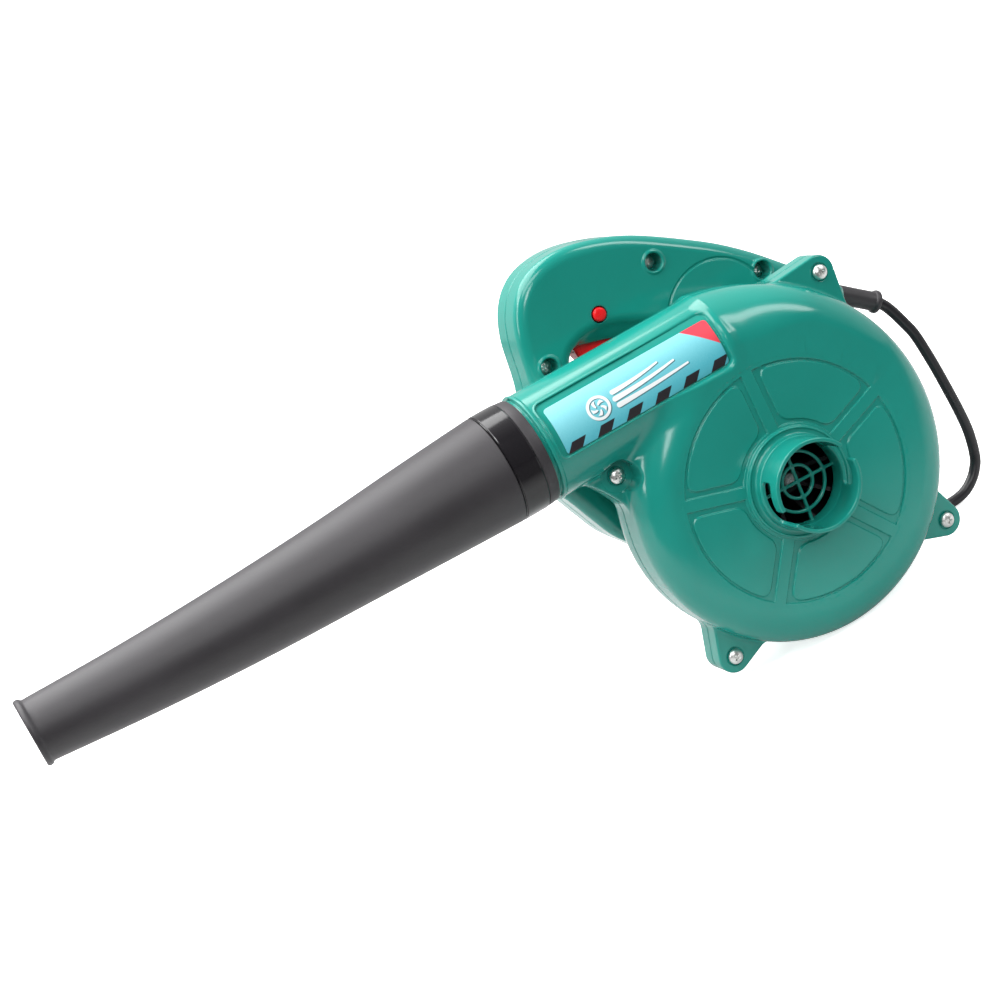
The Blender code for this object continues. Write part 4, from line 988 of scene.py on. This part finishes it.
def nozzle_cone(sides=96):
    """The rubber cone with its rolled lip."""
    table = np.array(NOZZLE_STATIONS)[::-1]
    inside = [(x, -2.2) for x in np.linspace(-382.0, -131.2, 60)]
    outside = [(x, 0.0) for x in np.linspace(-131.0, -380.6, 120)]
    profile = [(-130.3, -1.9), (-130.3, -0.7), (-130.45, -0.25), (-130.8, 0.0)] + outside
    profile += [(-381.1, 0.12), (-381.6, 0.5), (-382.0, 1.0), (-382.6, 1.27), (-383.4, 1.32), (-384.3, 1.2),
                (-384.8, 0.8), (-385.0, 0.2), (-385.0, -1.2), (-384.7, -1.8), (-384.2, -2.15)] + inside
    profile += [(-130.6, -2.2)]
    q = np.clip([x for x, _ in profile], -382.0, -130.3)
    middle = hermite(table[:, 0], table[:, 1], q)
    radius = hermite(table[:, 0], table[:, 2], q) + np.array([out for _, out in profile])
    verts = []
    for side in range(sides):
        a = 2 * math.pi * side / sides
        verts += [(x, r * math.cos(a), h + r * math.sin(a)) for (x, _), r, h in zip(profile, radius, middle)]
    mesh = mesh_from("nozzle_cone_rubber", verts, turned_faces(sides, len(profile), True))
    tidy_mesh(mesh, 60.0)
    return new_object("nozzle_cone_rubber", mesh)


def nozzle_cuff():
    """A gloss band with a fine seam at each side, and the matt tapered rim behind it."""
    profile = [(26.5, 110.6), (27.55, 110.6), (27.85, 110.75), (27.95, 111.1), (28.45, 115.9), (28.4, 116.35),
               (28.05, 116.5), (28.05, 116.75), (28.5, 116.85), (28.7, 117.15), (28.72, 123.0), (28.7, 129.1),
               (28.5, 129.4), (28.15, 129.5), (28.15, 130.0), (26.5, 130.0)]
    return turned("nozzle_cuff_band", profile, (0, 0, TUBE_HEIGHT), (-1, 0, 0), 128)


def label_film():
    """The printed film, wrapped on the tube and rounded at its corners; "art" holds its flat coordinates."""
    rows, columns, corner, lift = 25, 97, 2.0, 0.28
    height, length = 2 * LABEL_HALF_HEIGHT, 2 * LABEL_HALF_LENGTH
    v = np.unique(np.concatenate((np.linspace(0, corner, 8), np.linspace(corner, height - corner, rows),
                                  np.linspace(height - corner, height, 8))))
    near = np.maximum(0.0, corner - np.minimum(v, height - v))
    trim = corner - np.sqrt(np.maximum(corner ** 2 - near ** 2, 0.0))
    share = np.linspace(0, 1, columns)
    u = trim[:, None] + (length - 2 * trim[:, None]) * share[None]
    vv = np.repeat(v[:, None], columns, 1)
    angle = math.radians(LABEL_TILT) + (vv - height / 2) / TUBE_RADIUS
    verts, art = [], []
    for radius in (TUBE_RADIUS - RECESS_DEPTH + lift, TUBE_RADIUS - RECESS_DEPTH + 0.02):
        x = LABEL_MIDDLE - LABEL_HALF_LENGTH + u
        y, z = -radius * np.cos(angle), TUBE_HEIGHT + radius * np.sin(angle)
        verts.append(np.stack((x, y, z), -1).reshape(-1, 3))
        art.append(np.stack((u, vv, np.zeros_like(u)), -1).reshape(-1, 3))
    m, n = len(v), columns
    flat = [(i * n + j, i * n + j + 1, (i + 1) * n + j + 1, (i + 1) * n + j) for i in range(m - 1)
            for j in range(n - 1)]
    back = [tuple(k + m * n for k in face[::-1]) for face in flat]
    rim = list(range(n)) + [i * n + n - 1 for i in range(1, m)]
    rim += [(m - 1) * n + j for j in range(n - 2, -1, -1)] + [i * n for i in range(m - 2, 0, -1)]
    side = [(b, a, a + m * n, b + m * n) for a, b in zip(rim, rim[1:] + rim[:1])]
    mesh = bpy.data.meshes.new("label_film")
    mesh.from_pydata(((np.vstack(verts) + FAN) * 0.001).tolist(), [], flat + back + side)
    attribute = mesh.attributes.new("art", "FLOAT_VECTOR", "POINT")
    attribute.data.foreach_set("vector", np.vstack(art).astype(np.float32).ravel())
    mesh.shade_smooth()
    mesh.set_sharp_from_angle(angle=math.radians(40))
    return new_object("label_film", mesh)


def screw_head(radius, height):
    """A pan head with a cross recess, its underside at height zero, and its threaded shank below."""
    dome = (radius ** 2 + (height * 0.62) ** 2) / (2 * height * 0.62) + 0.6

    def field(p):
        x, y, h = p.T
        r = np.hypot(x, y)
        d = soft_max(np.maximum(r - radius, -h), np.hypot(r, h - height + dome) - dome, 0.7)
        wing = 0.9 + np.clip(h - height + 1.7, 0.0, 2.0) * 0.85
        cross = np.minimum(np.maximum(np.abs(x) - wing, np.abs(y) - 0.42),
                           np.maximum(np.abs(y) - wing, np.abs(x) - 0.42))
        return soft_max(d, -np.maximum(cross, height - 1.6 - h), 0.22)

    step = 0.14
    verts, quads = net(field, (-radius - 1, -radius - 1, -0.8), (radius + 1, radius + 1, height + 1), step)
    verts = settle(field, verts, step * 0.6)
    return verts, quads


def thread(radius, length, pitch=1.4, sides=20):
    """A shank with raised rings of thread, from under the head to its point."""
    profile = [(0.0, 0.1), (radius * 0.8, 0.1)]
    turns = int((length - 3) / pitch)
    for k in range(turns):
        base = -1.0 - k * pitch
        profile += [(radius * 0.78, base), (radius, base - pitch * 0.45), (radius * 0.78, base - pitch * 0.7)]
    profile += [(radius * 0.7, -length + 1.6), (0.0, -length)]
    verts = []
    for side in range(sides):
        a = 2 * math.pi * side / sides
        verts += [(r * math.cos(a), r * math.sin(a), h) for r, h in profile]
    return verts, turned_faces(sides, len(profile), False)


def screws(prefix, nodes, places, radius, height, shank, length, material):
    """Copies of one screw, each turned a little differently, facing -Y."""
    verts, quads = screw_head(radius, height)
    more, faces = thread(shank, length)
    mesh = bpy.data.meshes.new(prefix)
    shift = len(verts)
    all_verts = np.vstack((verts, np.array(more))) * 0.001
    mesh.from_pydata(all_verts.tolist(), [], quads.tolist() + [tuple(k + shift for k in f) for f in faces])
    tidy_mesh(mesh, 38.0)
    mesh.materials.append(material)
    for number, (node, place) in enumerate(zip(nodes, places), 1):
        obj = new_object("%s_%d" % (prefix, number), mesh)
        point = (np.array(place) + FAN) * 0.001
        spin = Matrix.Rotation(math.radians(23.0 + 67.0 * number), 4, "Z")
        obj.matrix_world = frame_along(point, (0, -1, 0)) @ spin
        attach(obj, "housing")
        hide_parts(node)


# ---------------------------------------------------------------- the lead
def cord_points():
    """The lead's centreline from inside the strain relief to the plug, in metres."""
    route = [tuple(BOOT_END - BOOT_DIRECTION * back) for back in (25.0, 3.0)]
    route += [(x, y, h - FAN[2]) for x, y, h in CORD_ROUTE]
    path = list(smooth_path(route, 5))
    knots = np.array(((0.0, 43.4, 3.45), (2.0, 30.6, 3.45), (2.3, 30.6, 9.75), (4.3, 43.4, 9.75),
                      (4.6, 43.4, 16.0), (6.25, 32.9, 16.0), (6.6, 30.6, 16.0), (6.75, 30.6, 16.0)))
    for t in np.arange(0.0, 6.7501, 1 / 40):
        radius = np.interp(t, knots[:, 0], knots[:, 1])
        height = np.interp(t, knots[:, 0], knots[:, 2])
        rise = min(max((t - 6.2) / 0.55, 0.0), 1.0)
        height += (PLUG_TAIL[2] - 16.0) * rise * rise * (3 - 2 * rise)
        a = 2 * math.pi * t
        path.append((COIL_CENTRE[0] + radius * math.cos(a), COIL_CENTRE[1] + radius * math.sin(a),
                     height - FAN[2]))
    path.append((PLUG_TAIL[0] + 6.0, PLUG_TAIL[1], PLUG_TAIL[2] - FAN[2]))
    return (np.array([tuple(p) for p in path]) + FAN) * 0.001


def mains_lead(material):
    points = cord_points()
    points[:, 2] = np.maximum(points[:, 2], (CORD_RADIUS + 0.05) * 0.001)
    curve = bpy.data.curves.new("mains_lead", "CURVE")
    curve.dimensions = "3D"
    curve.bevel_depth = CORD_RADIUS * 0.001
    curve.bevel_resolution = 5
    curve.use_fill_caps = True
    spline = curve.splines.new("POLY")
    spline.points.add(len(points) - 1)
    for target, point in zip(spline.points, points):
        target.co = (*point, 1)
    spline.use_smooth = True
    curve.materials.append(material)
    return new_object("mains_lead", curve)


def mains_plug():
    """The moulded plug: a round front, a waist with grip rings and a flexible tail."""
    tail, y, height = PLUG_TAIL
    profile = [(0.0, 44.0), (15.2, 44.0), (16.4, 43.7), (17.1, 43.0), (17.4, 41.8), (17.4, 26.5),
               (17.0, 24.4), (15.9, 21.6), (14.4, 18.4)]
    for k in range(5):
        base = 17.2 - k * 2.3
        radius = 13.4 - k * 1.35
        profile += [(radius + 0.7, base), (radius - 0.5, base - 0.7), (radius - 0.6, base - 1.3)]
    profile += [(7.2, 4.6), (6.3, 3.0), (6.0, 0.6), (5.5, 0.0), (0.0, 0.0)]
    return turned("mains_plug", profile, (tail, y, height - FAN[2]), (1, 0, 0), 64, closed=False)


def coil_tie():
    """A strap round the coil's turns."""
    angle = math.radians(215.0)
    middle = 37.0
    loops = []
    for half, low, high in ((9.65, 0.28, 19.15), (10.2, 0.03, 19.7)):
        loops.append(rounded_profile([(-half, low), (half, low), (half, high), (-half, high)], 3.0, 6))
    count = len(loops[0])
    verts = []
    for across in (-5.0, 5.0):
        for shape in loops:
            for out, height in shape:
                radius = middle + out
                x = COIL_CENTRE[0] + radius * math.cos(angle) - across * math.sin(angle)
                y = COIL_CENTRE[1] + radius * math.sin(angle) + across * math.cos(angle)
                verts.append((x, y, height - FAN[2]))
    faces = []
    for k in range(count):
        n = (k + 1) % count
        a, b, c, d = 0, count, 2 * count, 3 * count
        faces += [(a + k, a + n, b + n, b + k), (c + k, d + k, d + n, c + n), (a + k, c + k, c + n, a + n),
                  (b + k, b + n, d + n, d + k)]
    mesh = mesh_from("coil_tie", verts, faces)
    tidy_mesh(mesh)
    return new_object("coil_tie", mesh)


def strain_relief():
    """The rubber sleeve: slightly tapered, with a rolled bead at its outer end."""
    profile = [(3.2, 0.0), (4.6, 0.0), (5.5, -0.15), (6.1, -0.55), (6.38, -1.2), (6.42, -1.95), (6.3, -2.7),
               (5.95, -3.3), (5.5, -3.7), (5.32, -4.4), (5.3, -12.0), (5.4, -28.0), (5.4, -47.6),
               (5.2, -48.0), (3.2, -48.0)]
    return turned("strain_relief_sleeve", profile, BOOT_END, BOOT_DIRECTION, 64)


def button_cap():
    x, z = BUTTON_PLACE
    profile = [(0.0, 0.12), (1.6, 0.08), (2.6, -0.04), (3.15, -0.2), (3.5, -0.5), (3.68, -0.95), (3.7, -1.5),
               (3.7, -6.5), (4.4, -6.5), (4.4, -8.0), (0.0, -8.0)]
    return turned("button_cap", profile, (x, HANDLE_FRONT - 1.0, z), (0, -1, 0), 64, closed=False)


# ---------------------------------------------------------------- putting the object together
def dress(obj, material, body, nodes):
    if material is not None:
        obj.data.materials.clear()
        obj.data.materials.append(material)
    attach(obj, body)
    if nodes:
        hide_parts(*nodes)
    return obj


CAD_LOOKS = {
    "fan_plastic": ("impeller",),
    "zinc": ("impeller_washer", "impeller_nut", "plug_pin_front", "plug_pin_back", "clamp_screw_1",
             "clamp_screw_2", "volute_back_screw_1", "volute_back_screw_2", "volute_back_screw_3"),
    "steel": ("motor_shaft", "trigger_pin", "front_bearing_inner", "front_bearing_outer",
              "rear_bearing_inner", "rear_bearing_outer"),
    "lamination": ("armature_core", "stator_core"),
    "copper": ("armature_winding_front", "armature_winding_rear", "field_coil_upper", "field_coil_lower"),
    "brass": ("commutator", "brush_holder_left", "brush_holder_right"),
    "carbon": ("carbon_brush_left", "carbon_brush_right"),
    "switch_plastic": ("switch_body", "cord_clamp"),
    "capacitor_yellow": ("capacitor",),
}


MOULDINGS = (                 # name, node, field, corners of its box, lattice step, faces to keep and slope
    ("front_volute_shell", "front_volute", front_volute, (-130, -56, -92), (82, 2, 108), 0.55, 190000, 1.0),
    ("rear_volute_shell", "rear_volute", rear_volute, (-130, -2, -92), (100, 33, 108), 0.85, 90000, 1.0),
    ("handle_front_moulding", "handle_front_shell", handle_front, (-108, 27, -60), (104, 51, 156),
     0.6, 150000, 1.8),
    ("handle_rear_moulding", "handle_rear_shell", handle_rear, (-108, 45, -88), (104, 122, 156),
     0.9, 120000, 1.8),
    ("trigger_lever", "trigger", trigger, (-56, 40, 86), (-4, 56, 112), 0.35, 30000, 1.0),
)


def build_object():
    looks = make_materials()
    lead = mains_lead(looks["cord_pvc"])
    plug = mains_plug()
    tie = coil_tie()
    dress(lead, None, "housing", ("power_cord", "cord_coil"))
    dress(plug, looks["cord_pvc"], "housing", ("plug_body",))
    dress(tie, looks["black_rubber"], "housing", ())

    for name, node, *sizes in MOULDINGS:
        body, look = ("trigger", "red_plastic") if node == "trigger" else ("housing", "green_plastic")
        dress(moulded(name, *sizes), looks[look], body, (node,))

    dress(label_film(), looks["label"], "housing", ("label_plate",))
    dress(nozzle_cone(), looks["black_rubber"], "nozzle", ("nozzle_cone",))
    cuff = dress(nozzle_cuff(), looks["black_gloss"], "nozzle", ("nozzle_cuff",))
    cuff.data.materials.append(looks["black_rubber"])
    rim_start = (FAN[0] - 116.6) * 0.001
    for face in cuff.data.polygons:
        if face.center.x > rim_start:
            face.material_index = 1
    dress(button_cap(), looks["red_plastic"], "lock_button", ("lock_button",))
    dress(strain_relief(), looks["black_rubber"], "housing", ("strain_relief",))
    screws("volute_screw_head", ["volute_screw_%d" % n for n in (1, 2, 3, 4)],
           [(x, -LUG_HALF - 0.3, z) for (x, z), _, _ in LUGS], 4.0, 2.6, 1.9, 16.0, looks["zinc"])
    screws("handle_screw_head", ["handle_screw_%d" % n for n in (1, 2, 3, 4, 5)],
           [(x, 40.7, z) for x, z in HANDLE_SCREWS], 3.9, 2.5, 1.8, 18.0, looks["zinc"])
    for look, names in CAD_LOOKS.items():
        for name in names:
            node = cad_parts[name]
            node.data.materials.clear()
            node.data.materials.append(looks[look])
            if name in ("impeller_washer", "impeller_nut"):      # these two take a near-black steel in place of zinc, as dark as they look
                node.data.materials[0] = looks["black_steel"]
            edge = node.modifiers.new("edge", "BEVEL")
            edge.width = 0.00025
            edge.segments = 2
            edge.limit_method = "ANGLE"
            edge.angle_limit = math.radians(38)


# ---------------------------------------------------------------- floor and light
def softbox(name, place, target, size, watts):
    data = bpy.data.lights.new(name, "AREA")
    data.shape = "RECTANGLE"
    data.size, data.size_y = size
    data.energy = watts
    obj = bpy.data.objects.new(name, data)
    to = Vector(target) - Vector(place)
    obj.matrix_world = Matrix.Translation(place) @ to.to_track_quat("-Z", "Y").to_matrix().to_4x4()
    bpy.context.scene.collection.objects.link(obj)


def studio_floor():
    """A white sweep; towards the camera it is masked with black cloth that only the object's gloss sees."""
    half = 12.0
    mesh = bpy.data.meshes.new("floor")
    corners = [(-half, -half, 0), (half, -half, 0), (half, half, 0), (-half, half, 0)]
    mesh.from_pydata(corners, [], [(0, 1, 2, 3)])
    floor = new_object("floor", mesh)
    paper = surface("floor_paper", (0.93, 0.93, 0.93), 0.9, vary=0.01, bump=0.02, specular=0.1)
    nodes = Nodes(paper.node_tree)
    shader = paper.node_tree.nodes["Principled BSDF"]
    shader.inputs["Emission Color"].default_value = (1, 1, 1, 1)
    seen = nodes.tree.nodes.new("ShaderNodeLightPath").outputs["Is Camera Ray"]
    place = nodes.add("ShaderNodeTexCoord").outputs["Object"]
    parts = nodes.tree.nodes.new("ShaderNodeSeparateXYZ")
    nodes.tree.links.new(place, parts.inputs[0])
    open_part = nodes.ramp(parts.outputs["Y"], -0.30, -0.14, 0.03, 0.50)
    share = nodes.math("MAXIMUM", seen, open_part)
    glow = nodes.math("MULTIPLY_ADD", seen, 0.40, nodes.math("MULTIPLY", share, 0.35))
    nodes.put(shader, "Emission Strength", glow)
    nodes.put(shader, "Base Color", nodes.mix(share, (0.03, 0.03, 0.03, 1), (0.93, 0.93, 0.93, 1)))
    mesh.materials.append(paper)


def studio():
    studio_floor()
    softbox("softbox_top", (-0.35, 0.25, 1.55), (0.05, 0, 0.1), (2.1, 1.5), 52.0)
    softbox("softbox_front", (-0.30, -1.15, 1.35), (0.05, 0, 0.1), (1.1, 0.45), 8.0)
    softbox("softbox_near_camera", (-0.12, -1.15, 0.62), (0.1, 0, 0.1), (0.30, 0.30), 2.4)
    softbox("softbox_left", (-1.25, -0.35, 0.95), (0.05, 0, 0.1), (0.25, 1.0), 6.0)
    softbox("softbox_right", (1.05, -0.9, 0.95), (0.05, 0, 0.1), (0.30, 0.9), 6.0)
    world = bpy.data.worlds.new("studio")
    world.use_nodes = True
    nodes = Nodes(world.node_tree)
    back = world.node_tree.nodes["Background"]
    seen = nodes.tree.nodes.new("ShaderNodeLightPath").outputs["Is Camera Ray"]
    way = nodes.add("ShaderNodeTexCoord").outputs["Generated"]
    dot = nodes.tree.nodes.new("ShaderNodeVectorMath")
    dot.operation = "DOT_PRODUCT"
    nodes.tree.links.new(way, dot.inputs[0])
    dot.inputs[1].default_value = (-0.25, -0.94, 0.24)
    shade = nodes.ramp(dot.outputs["Value"], 0.0, 0.60, 0.75, 0.07)
    back.inputs["Color"].default_value = (1, 1, 1, 1)
    nodes.put(back, "Strength", nodes.math("MAXIMUM", shade, nodes.math("MULTIPLY", seen, 1.1)))
    bpy.context.scene.world = world
    bpy.context.scene.view_settings.view_transform = "Standard"


camera()
build_object()
studio()
